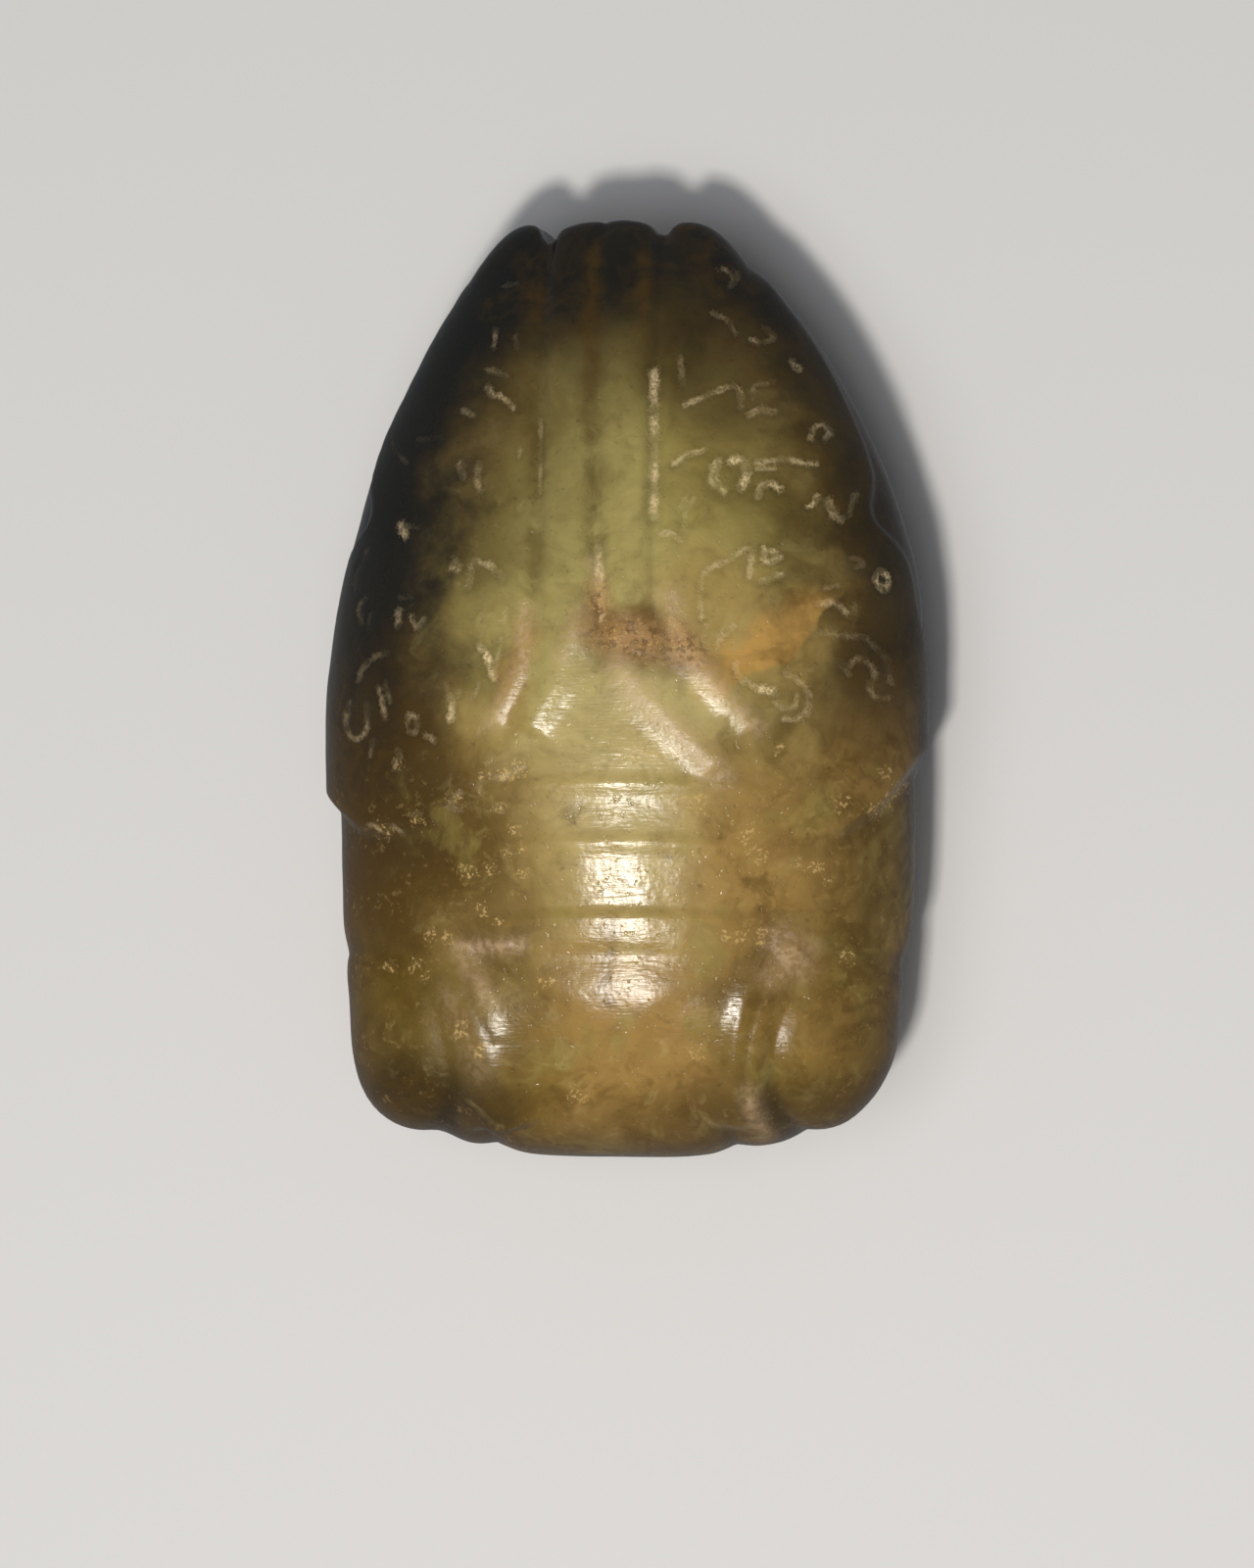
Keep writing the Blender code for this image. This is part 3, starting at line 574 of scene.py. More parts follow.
def arc(value, low, high):
    """A rounded swelling from low to high, 1 half way and 0 outside."""
    share = np.clip((value - low) / (high - low), 0.0, 1.0)
    return np.sqrt(np.maximum(4 * share * (1 - share), 0.0))


def smooth_max(first, second, rounding):
    """The larger of the two, rounded over where they are close."""
    share = np.clip(0.5 + 0.5 * (first - second) / rounding, 0.0, 1.0)
    return second * (1 - share) + first * share + rounding * share * (1 - share)


def smooth_curve(corners, steps):
    """A smooth plan curve through the corners, as a row of points."""
    travel = np.concatenate(([0.0], np.cumsum(np.linalg.norm(np.diff(corners, axis=0), axis=1))))
    places = np.linspace(0.0, travel[-1], steps)
    return np.stack([eased(np.stack([travel, corners[:, k]], axis=1), places) for k in (0, 1)], axis=1)


def drawn(points):
    """The smooth plan curve through (across, along) points, in metres."""
    return smooth_curve(np.array(points) * (WIDTH / 2, LENGTH / 2), CURVE_STEPS)


def nearest(x, y, curve):
    """The distance to a plan curve, positive on its left, and its nearest point's place on it, 0 to 1."""
    best = np.full(x.shape, np.inf)
    signed = np.zeros(x.shape)
    place = np.zeros(x.shape)
    for index, (start, end) in enumerate(zip(curve[:-1], curve[1:])):
        way = end - start
        share = ((x - start[0]) * way[0] + (y - start[1]) * way[1]) / (way @ way)
        share = np.clip(share, 0.0, 1.0)
        off_x = x - start[0] - share * way[0]
        off_y = y - start[1] - share * way[1]
        distance = np.hypot(off_x, off_y)
        closer = distance < best
        best = np.where(closer, distance, best)
        left = np.sign(way[0] * off_y - way[1] * off_x)
        signed = np.where(closer, distance * np.where(left == 0, 1, left), signed)
        place = np.where(closer, (index + share) / (len(curve) - 1), place)
    return signed, place


def tail_end(x):
    """How far back the three lobes of the tail reach."""
    across = x / (WIDTH / 2)
    reach = np.full(x.shape, TAIL_ROOT)
    for middle, along, fall_left, fall_right in TAIL_LOBES:
        fall = np.where(across < middle, fall_left, fall_right)
        reach = np.maximum(reach, along - fall * (across - middle) ** 2)
    return reach * LENGTH / 2


def risen(y, z):
    """The height over the girdle: 1 on the crest of the uncarved back, -1 on the keel of the belly."""
    along = y / (LENGTH / 2)
    above = z / THICKNESS - GIRDLE
    return np.where(above > 0, above / eased(CRESTS, along), above / eased(KEELS, along))


def blank(x, y, z):
    """The uncarved form: below 0 inside it, above 0 outside, and near a distance close to its skin."""
    along = y / (LENGTH / 2)
    head = np.clip(-along, 0.0, None)
    places, left, right = np.array(HALF_WIDTHS).T
    left, right = (eased(np.stack([places, side], 1), along) for side in (left, right))
    across = x / (WIDTH / 2) / np.where(x < 0, left, right)
    squareness = BACK_SQUARENESS + (HEAD_SQUARENESS - BACK_SQUARENESS) * ramp(head - HEAD_START, HEAD_FADE)
    total = np.abs(across) ** squareness + np.abs(risen(y, z)) ** BODY_SQUARENESS + head**HEAD_BLUNTNESS
    body = (total ** (1 / BODY_SQUARENESS) - 1) * THICKNESS / 2
    return smooth_max(body, y - tail_end(x), TAIL_ROUNDING)


def cast(directions):
    """Where each ray from the middle of the blank meets its skin."""
    reach = directions * (WIDTH / 2, LENGTH / 2, THICKNESS / 2)
    low = np.full(len(reach), NEAREST_SKIN)
    high = np.full(len(reach), FARTHEST_SKIN)
    centre = np.array((0.0, 0.0, GIRDLE * THICKNESS))
    for _ in range(HALVINGS):
        middle = (low + high) / 2
        inside = blank(*(centre + reach * middle[:, None]).T) < 0
        low = np.where(inside, middle, low)
        high = np.where(inside, high, middle)
    points = centre + reach * low[:, None]
    points[:, 2] = np.maximum(points[:, 2], 0.0)
    return points


def wing_layer(x, y, z):
    """The step up from the body to the wings, highest at the shoulders."""
    along = y / (LENGTH / 2)
    front, _ = nearest(x, y, drawn(WING_FRONT))
    margin = (z / THICKNESS - GIRDLE - eased(WING_MARGIN, along)) * THICKNESS
    outward = np.clip(np.abs(x) / (WIDTH / 2), 0.0, 1.0) ** 2
    lift = eased(WING_LIFTS, along) * (WING_LIFT_MIDDLE + (1 - WING_LIFT_MIDDLE) * outward)
    edge = WING_EDGE_MIDDLE + (WING_EDGE - WING_EDGE_MIDDLE) * np.sqrt(outward)
    return lift * ramp(front, edge) * ramp(margin, WING_EDGE)


def strip(x, y):
    """The fluted strip between the wings, with the groove of the spine down its middle."""
    along = y / (LENGTH / 2)
    off = x - eased(STRIP_CENTRE, along) * WIDTH / 2
    present = ramp(along - STRIP_START, STRIP_FADE)
    edges = bump(np.abs(off) - STRIP_HALF_WIDTH, STRIP_GROOVE)
    deeper = 1 + STRIP_TAIL_DEEPER * ramp(along - STRIP_TAIL, STRIP_TAIL_FADE)
    spine = bump(off, SPINE_GROOVE) * (1 - SPINE_END_LOSS * ramp(along - SPINE_END, SPINE_END_FADE))
    flutes = arc(np.abs(off), 0.0, STRIP_HALF_WIDTH)
    return present * (FLUTE_RISE * flutes - SPINE_GROOVE_DEPTH * spine - STRIP_GROOVE_DEPTH * deeper * edges)


def bars(x, y, rows):
    """Raised bars along plan curves, rounded across and tapered at both ends."""
    height = np.zeros(x.shape)
    for points, (width, low, high) in rows:
        distance, place = nearest(x, y, drawn(points))
        ends = ramp(place - BAR_START[0], BAR_START[1]) * ramp(BAR_END[0] - place, BAR_END[1])
        height = np.maximum(height, (low + (high - low) * place) * bump(distance, width) * ends)
    return height


def thorax(x, y):
    """The beads and rolls across the thorax and the crown of the head."""
    off = x - THORAX_CENTRE * WIDTH / 2
    bent = y / (LENGTH / 2) + BEAD_SAG * (off / (WIDTH / 2)) ** 2
    height = np.zeros(x.shape)
    for low, high, rise in ROLLS:
        height += rise * arc(bent, low, high) ** 2
    for place, width, rise, flatness in BEADS:
        gap = (bent - place) * LENGTH / 2
        share = np.abs(gap) / (RIDGE_FALL * np.where(gap < 0, BEAD_SLOPE * width, width))
        height += rise * np.exp(-(share**flatness))
    return height * ramp(BEAD_HALF_LENGTH + BEAD_FADE / 2 - np.abs(off), BEAD_FADE)


def eyes(x, y, z):
    """The two domes of the eyes, each with a groove round its foot."""
    height = np.zeros(x.shape)
    for (across, along, up), half, turn in EYE_DOMES:
        angle = math.radians(turn)
        off_x = x - across * WIDTH / 2
        off_y = y - along * LENGTH / 2
        side = (off_x * math.cos(angle) - off_y * math.sin(angle)) / half[0]
        length = (off_x * math.sin(angle) + off_y * math.cos(angle)) / half[1]
        level = (z - (GIRDLE + up) * THICKNESS) / half[2]
        out = np.sqrt(side**2 + length**2 + level**2)
        dome = np.clip(1 - out**2, 0.0, 1.0) ** EYE_FULLNESS
        height += EYE_RISE * dome
        deeper = 1 + EYE_GROOVE_FRONT * ramp(-y - EYE_FRONT * LENGTH / 2, EYE_FRONT_FADE)
        height -= EYE_GROOVE_DEPTH * deeper * bump((out - EYE_GROOVE_PLACE) * half[0], EYE_GROOVE)
    return height


def face(x, y):
    """The shield between the eyes and the knobs where the eyelids meet the thorax."""
    outline, _ = nearest(x, y, drawn(SHIELD))
    inside = ramp(outline, SHIELD_EDGE) * ramp(SHIELD_BACK * LENGTH / 2 - y, SHIELD_BACK_FADE)
    height = SHIELD_RISE * inside
    for across, along, radius, rise in BROW_KNOBS:
        distance = np.hypot(x - across * WIDTH / 2, y - along * LENGTH / 2)
        height = np.maximum(height, rise * bump(distance, radius))
    return height


def lip(x, y, z):
    """The muzzle on the front of the head: a swelling between two creases, crossed by the mouth."""
    across = x / (WIDTH / 2)
    level = z / THICKNESS - GIRDLE
    fall = np.exp(-(((level - LIP_LEVEL) / LIP_HEIGHT) ** 2))
    swelling = LIP_RISE * arc(across, *LIP) ** LIP_FULLNESS * fall
    inside = ramp(LIP_CREASE_REACH - np.abs(level), LIP_CREASE_FADE)
    creases = sum(bump((across - side) * WIDTH / 2, LIP_CREASE) for side in LIP) * inside
    bowed = (level - MOUTH_LEVEL - MOUTH_BOW * (across - sum(LIP) / 2) ** 2) * THICKNESS
    mouth = bump(bowed, LIP_CREASE) * ramp(arc(across, *LIP) - MOUTH_START, MOUTH_FADE)
    front = ramp(-y - LIP_FRONT * LENGTH / 2, LIP_FRONT_FADE)
    return front * (swelling - np.maximum(LIP_CREASE_DEPTH * creases, MOUTH_DEPTH * mouth))


def belly(x, y):
    """Cross cuts over the abdomen and two folded legs, all shallow."""
    along = y / (LENGTH / 2)
    depth = np.zeros(x.shape)
    for place in BELLY_CUTS:
        gap = (along - place + BELLY_CUT_SAG * (x / (WIDTH / 2)) ** 2) * LENGTH / 2
        depth = np.maximum(depth, bump(gap, BELLY_CUT_WIDTH))
    depth *= ramp(BELLY_CUT_REACH - np.abs(x) / (WIDTH / 2), BELLY_CUT_FADE)
    for side in (-1, 1):
        distance, _ = nearest(x, y, drawn([(side * across, place) for across, place in LEG]))
        depth = np.maximum(depth, bump(distance, LEG_WIDTH))
    return -BELLY_CUT_DEPTH * depth


def carving(x, y, z):
    """How far the carved surface stands out of the blank, everywhere."""
    above = z / THICKNESS - GIRDLE
    top = ramp(above + BACK_EDGE, BACK_FADE)
    height = wing_layer(x, y, z) + eyes(x, y, z) + lip(x, y, z)
    height += top * (strip(x, y) + thorax(x, y) + bars(x, y, COLLAR_BARS + EYE_LIDS) + face(x, y))
    return height + ramp(-above - BELLY_EDGE, BELLY_FADE) * belly(x, y)


def fitted(points):
    """Stretched to the part's own size, with the origin under the middle of the box."""
    low = points.min(axis=0)
    size = points.max(axis=0) - low
    share = (points - low) / size
    return (share - (0.5, 0.5, 0.0)) * (WIDTH, LENGTH, THICKNESS)


def box_of_cells(name):
    """A cube from -1 to 1, cut into cells in edit mode, with the cells of the back cut once more."""
    bpy.ops.object.select_all(action="DESELECT")
    bpy.ops.mesh.primitive_cube_add(size=2.0)
    box = bpy.context.object
    box.name = name
    box.data.name = name
    bpy.ops.object.mode_set(mode="EDIT")
    bpy.ops.mesh.select_mode(type="EDGE")
    for axis, cells in enumerate((CELLS_ACROSS, CELLS_ALONG, CELLS_UP)):
        halved = 2 if cells > MOST_CELLS else 1
        for cuts in [cells // halved - 1] + [1] * (halved - 1):
            select_edges_along(box, axis)
            bpy.ops.mesh.subdivide(number_cuts=cuts)
    bpy.ops.mesh.select_mode(type="FACE")
    select_back(box)
    bpy.ops.mesh.subdivide(number_cuts=1)
    bpy.ops.object.mode_set(mode="OBJECT")
    return box


def select_edges_along(box, axis):
    """Selects the edges that run along one axis, and nothing else."""
    bpy.ops.mesh.select_all(action="DESELECT")
    cage = bmesh.from_edit_mesh(box.data)
    for edge in cage.edges:
        way = edge.verts[0].co - edge.verts[1].co
        edge.select_set(abs(way[axis]) > 0.5 * way.length)
    bmesh.update_edit_mesh(box.data)


def select_back(box):
    """Selects the faces on the cube's top, and nothing else."""
    bpy.ops.mesh.select_all(action="DESELECT")
    cage = bmesh.from_edit_mesh(box.data)
    for face in cage.faces:
        face.select_set(all(vertex.co.z > BACK_LEVEL for vertex in face.verts))
    bmesh.update_edit_mesh(box.data)


def read_vectors(mesh, kind):
    values = np.empty(len(mesh.vertices) * 3, np.float32)
    mesh.vertices.foreach_get(kind, values)
    return values.reshape(-1, 3).astype(float)


def set_points(mesh, points):
    mesh.vertices.foreach_set("co", points.astype(np.float32).ravel())
    mesh.update()


def directions(cube):
    """The cube's points turned to rays: the back and the belly become discs that are even in plan."""
    x, y, z = cube.T
    u = x * np.sqrt(1 - y * y / 2)
    v = y * np.sqrt(1 - x * x / 2)
    reach = np.maximum(np.hypot(u, v), 1e-9)
    on_side = np.maximum(np.abs(x), np.abs(y)) > SIDE_LEVEL
    top, bottom = math.asin(BACK_REACH), math.pi - math.asin(BELLY_REACH)
    angle = np.where(z > 0, np.arcsin(np.minimum(BACK_REACH * reach, 1.0)), 0.0)
    angle = np.where(z > 0, angle, math.pi - np.arcsin(np.minimum(BELLY_REACH * reach, 1.0)))
    angle = np.where(on_side, top + (bottom - top) * (1 - z) / 2, angle)
    return np.stack([np.sin(angle) * u / reach, np.sin(angle) * v / reach, np.cos(angle)], axis=1)


def near_stroke(x, y, points, margin):
    """The vertices that a stroke can reach."""
    low = np.min(points, axis=0) - margin
    high = np.max(points, axis=0) + margin
    return (x > low[0]) & (x < high[0]) & (y > low[1]) & (y < high[1])


def stroke_curve(points):
    """The line through points in millimetres: straight between two, smooth through more."""
    corners = np.array(points, float) * MM
    if len(corners) < 3:
        return corners
    return smooth_curve(corners, STROKE_STEPS * len(corners))


def beside(x, y, curve):
    """The distance to a plan curve, on either side of it."""
    return np.abs(nearest(x, y, curve)[0])


def engraving(x, y, z):
    """The distance to the nearest stroke, in half widths, and the strength of that stroke."""
    distance = np.full(x.shape, NO_STROKE)
    strength = np.zeros(x.shape)
    upper = z > ENGRAVED_FROM * THICKNESS
    for width, clear, points in RIGHT_WING + LEFT_WING + THORAX_MARKS + WHITE_LINES:
        curve = stroke_curve(points)
        close = np.flatnonzero(near_stroke(x, y, curve, STROKE_MARGIN * width * MM) & upper)
        apart = beside(x[close], y[close], curve) / (width * MM / 2)
        nearer = apart < distance[close]
        distance[close[nearer]] = apart[nearer]
        strength[close[nearer]] = clear
    return distance, strength


def near_lines(x, y, rows):
    """How close the nearest of the lines is: its strength on it, and near 0 a width away."""
    near = [strength * bump(beside(x, y, stroke_curve(line)), width * MM) for width, strength, line in rows]
    return np.maximum.reduce(near)


def wobble(points, size, seed):
    """Smooth random unevenness, about -1 to 1, with lumps of the size given."""
    shift = Vector([seed * step for step in SEED_STEPS])
    return np.array([noise.noise(Vector(point) / size + shift) for point in points])


def add_attribute(mesh, name, values):
    attribute = mesh.attributes.new(name, "FLOAT", "POINT")
    attribute.data.foreach_set("value", values.astype(np.float32))


def on_ellipse(x, y, centre, half, turn):
    """The share of the way from the middle of an ellipse in plan to its rim, in millimetres."""
    angle = math.radians(turn)
    off_x = x / MM - centre[0]
    off_y = y / MM - centre[1]
    side = (off_x * math.cos(angle) + off_y * math.sin(angle)) / half[0]
    length = (off_y * math.cos(angle) - off_x * math.sin(angle)) / half[1]
    return np.hypot(side, length)


def carve(sizes):
    """Carves the fine mesh, and keeps in attributes what the jade's colours follow."""
    box = box_of_cells("carved_jade")
    mesh = box.data
    points = cast(directions(read_vectors(mesh, "co")))
    set_points(mesh, points)
    normals = read_vectors(mesh, "normal")
    x, y, z = points.T
    height = carving(x, y, z)
    groove = np.clip(-height / GROOVE_FULL, 0.0, 1.0)
    distance, strength = engraving(x, y, z)
    patches = [np.clip(RAW_EDGE - on_ellipse(x, y, *patch), 0.0, 1.0) for patch in RAW_PATCHES]
    raw = np.maximum.reduce(patches) * (z > GIRDLE * THICKNESS)
    depth = sizes.engraving_depth * (FAINT_DEPTH + STRONG_DEPTH * strength)
    height -= depth * np.exp(-((distance / STROKE_SOFTNESS) ** 2))
    height += raw * wobble(points, RAW_CRUMBS, 1) * RAW_HEIGHT - BROWN_LINE_DEPTH * near_lines(x, y, BROWN_GROOVE_LINES)
    lumps = wobble(points, LARGE_LUMPS, 2) + SMALL_LUMP_SHARE * wobble(points, SMALL_LUMPS, 3)
    height += sizes.hand_unevenness * lumps
    points += normals * height[:, None]
    set_points(mesh, fitted(points))

    x, y, z = points.T
    rise = risen(y, z)
    add_attribute(mesh, "rise", rise)
    add_attribute(mesh, "stroke distance", distance)
    add_attribute(mesh, "stroke strength", strength)
    add_attribute(mesh, "raw", raw)
    add_attribute(mesh, "groove", groove)
    chips = []
    for across, along, size in CHIPS:
        chips.append(bump(np.hypot(x - across * MM, y - along * MM), CHIP_REACH * size * MM))
    add_attribute(mesh, "chips", np.maximum.reduce(chips) * (rise > 0))
    for name, rows in (("worn", WORN_AND_SHEEN_PLACES), ("dull", DULL_PLACES), ("seam", BROWN_GROOVE_LINES)):
        add_attribute(mesh, name, near_lines(x, y, rows) * (rise > 0))
    mesh.shade_smooth()
    return box


class Value:
    """A number worked out in a material, so that its sums read as sums."""

    def __init__(self, paint, socket):
        self.paint = paint
        self.socket = socket

    def sum(self, operation, *others, flipped=False):
        inputs = [self, *others]
        if flipped:
            inputs.reverse()
        return self.paint.node("ShaderNodeMath", {"operation": operation}, dict(enumerate(inputs)))

    def __add__(self, other):
        return self.sum("ADD", other)

    def __sub__(self, other):
        return self.sum("SUBTRACT", other)

    def __rsub__(self, other):
        return self.sum("SUBTRACT", other, flipped=True)

    def __mul__(self, other):
        return self.sum("MULTIPLY", other)

    def __truediv__(self, other):
        return self.sum("DIVIDE", other)

    def __pow__(self, other):
        return self.sum("POWER", other)

    __radd__ = __add__
    __rmul__ = __mul__

    def over(self, other):
        return self.sum("MAXIMUM", other)

    def size(self):
        return self.sum("ABSOLUTE")

    def step(self, low, high):
        """0 below low, 1 above high, and smooth between; low may be the larger."""
        settings = {"interpolation_type": "SMOOTHSTEP"}
        inputs = {"Value": self, "From Min": low, "From Max": high, "To Min": 0.0, "To Max": 1.0}
        if low > high:
            inputs.update({"From Min": high, "From Max": low, "To Min": 1.0, "To Max": 0.0})
        return self.paint.node("ShaderNodeMapRange", settings, inputs)


class Paint:
    """One material, and the nodes that it is painted with."""

    def __init__(self, name):
        self.material = bpy.data.materials.new(name)
        self.material.use_nodes = True
        self.tree = self.material.node_tree
        self.shader = self.tree.nodes["Principled BSDF"]

    def node(self, kind, settings=None, inputs=None, output=0):
        """Adds a node, sets it up, fills its sockets with values or links, and gives its output."""
        made = self.tree.nodes.new(kind)
        for name, value in (settings or {}).items():
            setattr(made, name, value)
        for name, value in (inputs or {}).items():
            self.fill(self.socket(made.inputs, name), value)
        return Value(self, self.socket(made.outputs, output))

    def socket(self, sockets, name):
        """A socket by its number, its name or, where several share a name, its identifier."""
        if isinstance(name, int) or name in sockets:
            return sockets[name]
        return next(socket for socket in sockets if socket.identifier == name)

    def fill(self, socket, value):
        if isinstance(value, Value):
            self.tree.links.new(value.socket, socket)
        elif socket.type == "RGBA":
            socket.default_value = (*value[:3], 1.0)
        else:
            socket.default_value = value

    def attribute(self, name):
        return self.node("ShaderNodeAttribute", {"attribute_name": name}, output="Fac")

    def place(self):
        """The place on the object, in millimetres."""
        at = self.node("ShaderNodeTexCoord", output="Object")
        return self.node("ShaderNodeVectorMath", {"operation": "SCALE"}, {0: at, "Scale": 1 / MM})

    def split(self, vector):
        made = self.node("ShaderNodeSeparateXYZ", inputs={0: vector}).socket.node
        return [Value(self, made.outputs[k]) for k in range(3)]

    def clouds(self, at, size, detail=3.0, roughness=0.5, distortion=0.0):
        """Noise about 0.5, with clouds of the size given, in millimetres."""
        inputs = {"Vector": at, "Scale": 1 / size, "Detail": detail, "Roughness": roughness}
        inputs["Distortion"] = distortion
        return self.node("ShaderNodeTexNoise", inputs=inputs)

    def moved(self, at, size, amount):
        """The place, pushed about by clouds, so that what is drawn there gets a natural edge."""
        inputs = {"Vector": at, "Scale": 1 / size, "Detail": 3.0}
        shift = self.node("ShaderNodeTexNoise", inputs=inputs, output="Color")
        centred = self.node("ShaderNodeVectorMath", {"operation": "SUBTRACT"}, {0: shift, 1: (0.5, 0.5, 0.5)})
        scaled = self.node("ShaderNodeVectorMath", {"operation": "SCALE"}, {0: centred, "Scale": amount})
        return self.node("ShaderNodeVectorMath", {"operation": "ADD"}, {0: at, 1: scaled})

    def stretched(self, at, shares):
        return self.node("ShaderNodeVectorMath", {"operation": "MULTIPLY"}, {0: at, 1: shares})

    def patch(self, at, centre, half, turn=0.0, edge=0.35):
        """1 inside an ellipse in plan and 0 outside it; sizes in millimetres, the turn in degrees."""
        x, y, _ = self.split(at)
        angle = math.radians(turn)
        off_x = x - centre[0]
        off_y = y - centre[1]
        side = (off_x * math.cos(angle) + off_y * math.sin(angle)) / half[0]
        length = (off_y * math.cos(angle) - off_x * math.sin(angle)) / half[1]
        far = (side * side + length * length) ** 0.5
        return far.step(1 + edge, 1 - edge)

    def mix(self, share, first, second):
        """The first colour where the share is 0, the second where it is 1."""
        inputs = {"Factor_Float": share, "A_Color": first, "B_Color": second}
        return self.node("ShaderNodeMix", {"data_type": "RGBA", "clamp_factor": True}, inputs, "Result_Color")

    def link(self, name, value):
        self.fill(self.shader.inputs[name], value)


class Stone:
    """The jade's patterns, and the coats of colour that lie over each other in them.

    Places are in millimetres, x to the right and y towards the tail. The rise is 1 on the crest, 0 at the
    girdle and below 0 underneath.
    """

    def __init__(self, paint, colours):
        self.paint = paint
        self.colours = colours
        self.at = paint.place()
        self.loose = paint.moved(self.at, *LOOSE_SHIFT)
        self.close = paint.moved(self.loose, *CLOSE_SHIFT)
        self.x, self.y, _ = paint.split(self.close)
        self.rise = paint.attribute("rise") + (paint.clouds(self.at, *WAVES) - 0.5) * 0.5
        self.clouds = paint.clouds(self.at, *CLOUDS)
        self.veils = paint.clouds(self.close, *VEILS)
        self.flecks = paint.clouds(self.at, *FLECKS)
        self.crumbs = paint.clouds(self.at, *CRUMBS)
        self.upper = self.rise.step(-0.85, -0.30)
        self.outward = self.rise.step(0.92, 0.55) * self.upper
        # the left side, which is made darker still, partly as painted shade
        self.lefter = self.x.step(4.0, -12.0)
        self.colour = paint.mix(self.clouds.step(0.35, 0.68), colours.olive, colours.honey)

    def coat(self, share, name):
        """Lays one of the jade's colours over those that are there."""
        self.colour = self.paint.mix(share, self.colour, getattr(self.colours, name))

    def grow(self):
        """The stains of the pebble, the ochre of its skin and the mottling of its heart."""
        for name, centre, half, turn, edge, strength in STAINS:
            self.coat(self.paint.patch(self.close, centre, half, turn, edge) * strength, name)
        share_x, share_y, distance = OCHRE_LINE
        across = self.x * share_x - self.y * share_y - distance
        inside = self.paint.patch(self.close, *OCHRE_PATCH)
        self.coat(inside * across.step(OCHRE_SOFTNESS, -OCHRE_SOFTNESS), "ochre")
        mottle = self.paint.clouds(self.loose, *MOTTLE)
        ahead = self.y.step(-2.0, -8.0) * 0.6 + 0.4
        inner = (self.x + self.y * 0.3).step(-17.0, -11.0)
        self.coat(mottle.step(0.52, 0.68) * ahead * inner * 0.50, "heart")
        self.coat(mottle.step(0.46, 0.32) * ahead * 0.45, "russet")

    def darken_and_shade(self):
        """Brown on the flanks and dark towards the tail, sooner so on the left: partly the stone's own stain
        and partly painted shade where the flanks and the tail fall away from the light.
        """
        # painted shade over the stains: the flanks, the left side and the tail are made darker
        self.coat(self.outward * self.y.step(-9.0, 0.0) * 0.75, "umber")
        self.coat(self.outward * self.y.step(-3.0, -11.0) * 0.35, "russet")
        self.coat(self.lefter * self.y.step(2.0, 12.0) * 0.75, "umber")
        self.coat(self.y.step(15.0, 23.5) * 0.75, "umber")
        self.coat((self.y + self.lefter * 3.5).step(21.5, 26.5) * 0.92, "rim")

    def shaded_dark_edges(self):
        """Where the stone is painted blue-black: on the outside of the wings, more so on the left, and round
        the girdle behind the head. This is partly the stone's own dark rim and partly painted shade on the
        sides that fall away from the light.
        """
        wings = (self.rise - self.lefter * 0.26).step(0.74, 0.42)
        wings = wings * (self.y + self.lefter * 3.0).step(-2.0, 9.0) * self.upper
        wings = wings * (self.lefter * 0.42 + 0.58)
        girdle = self.rise.step(0.34, -0.05) * self.rise.step(-0.80, -0.25)
        behind = self.y.step(-14.0, -4.0) * 0.70 + 0.10
        return wings.over(girdle * behind)

    def vein(self):
        """The brown lines along the grooves, the veins, veils and flecks, and the pale veils on the crest."""
        self.coat(self.paint.attribute("seam") * self.veils.step(0.35, 0.60) * 0.55, "russet")
        veins = (self.paint.clouds(self.loose, *VEINS) - 0.5).size().step(0.09, 0.0)
        self.coat(veins * (self.outward * 0.3 + 0.12), "russet")
        brown = 0.28 + self.rise.step(0.95, 0.70) * self.upper * 0.3
        self.coat(self.veils.step(0.50, 0.74) * brown, "russet")
        crest = self.rise.step(0.6, 0.95) * self.y.step(20.0, 8.0)
        self.coat(self.veils.step(0.46, 0.28) * crest * 0.30, "pale")
        self.coat(self.flecks.step(0.60, 0.74) * 0.28, "umber")

    def deepen(self, edges):
        """The bronze belly, the grooves of the face, the dark edges with their painted shade and the light
        specks by the head.
        """
        self.coat((1.0 - self.upper) * 0.65, "bronze")
        self.coat(self.paint.attribute("groove") * self.y.step(-21.0, -26.0) * 0.6, "umber")
        # painted shade together with the stone's dark rim: the dark edges in the rim colour
        self.coat(edges * 0.94, "rim")
        stained = self.veils.step(0.44, 0.58) * self.y.step(-3.0, -7.0)
        stained = stained * self.rise.step(1.0, 0.85) * self.rise.step(0.05, 0.40)
        self.coat(self.flecks.step(0.44, 0.34) * stained * 0.16, "gold")

    def engrave(self, edges):
        """Frosts the engraver's strokes, paints shade in umber beside them, and gives where they are."""
        off = self.paint.attribute("stroke distance")
        strength = self.paint.attribute("stroke strength")
        ragged = (self.crumbs - 0.5) * 2.2 + (self.flecks - 0.5) * 1.8
        cut = (off + ragged).step(0.95, 0.30)
        grainy = self.crumbs.step(0.40, 0.56) * 0.75 + 0.25
        faded = self.paint.clouds(self.at, *FADING).step(0.42, 0.58) * 0.8 + 0.2
        # painted shade: a faint umber halo beside each stroke
        self.coat(off.step(2.2, 0.8) * strength * 0.14, "umber")
        # the frost is dimmer where the edges are painted dark, partly as shade
        self.coat(cut * strength**1.35 * grainy * faded * (1.0 - edges * 0.4), "frost")
        return cut

    def wear(self, raw, rubbed_and_sheen):
        """Colours the places that rubbing has dulled, whose pale colour by the left eye is a painted sheen,
        the chips and the raw patch.
        """
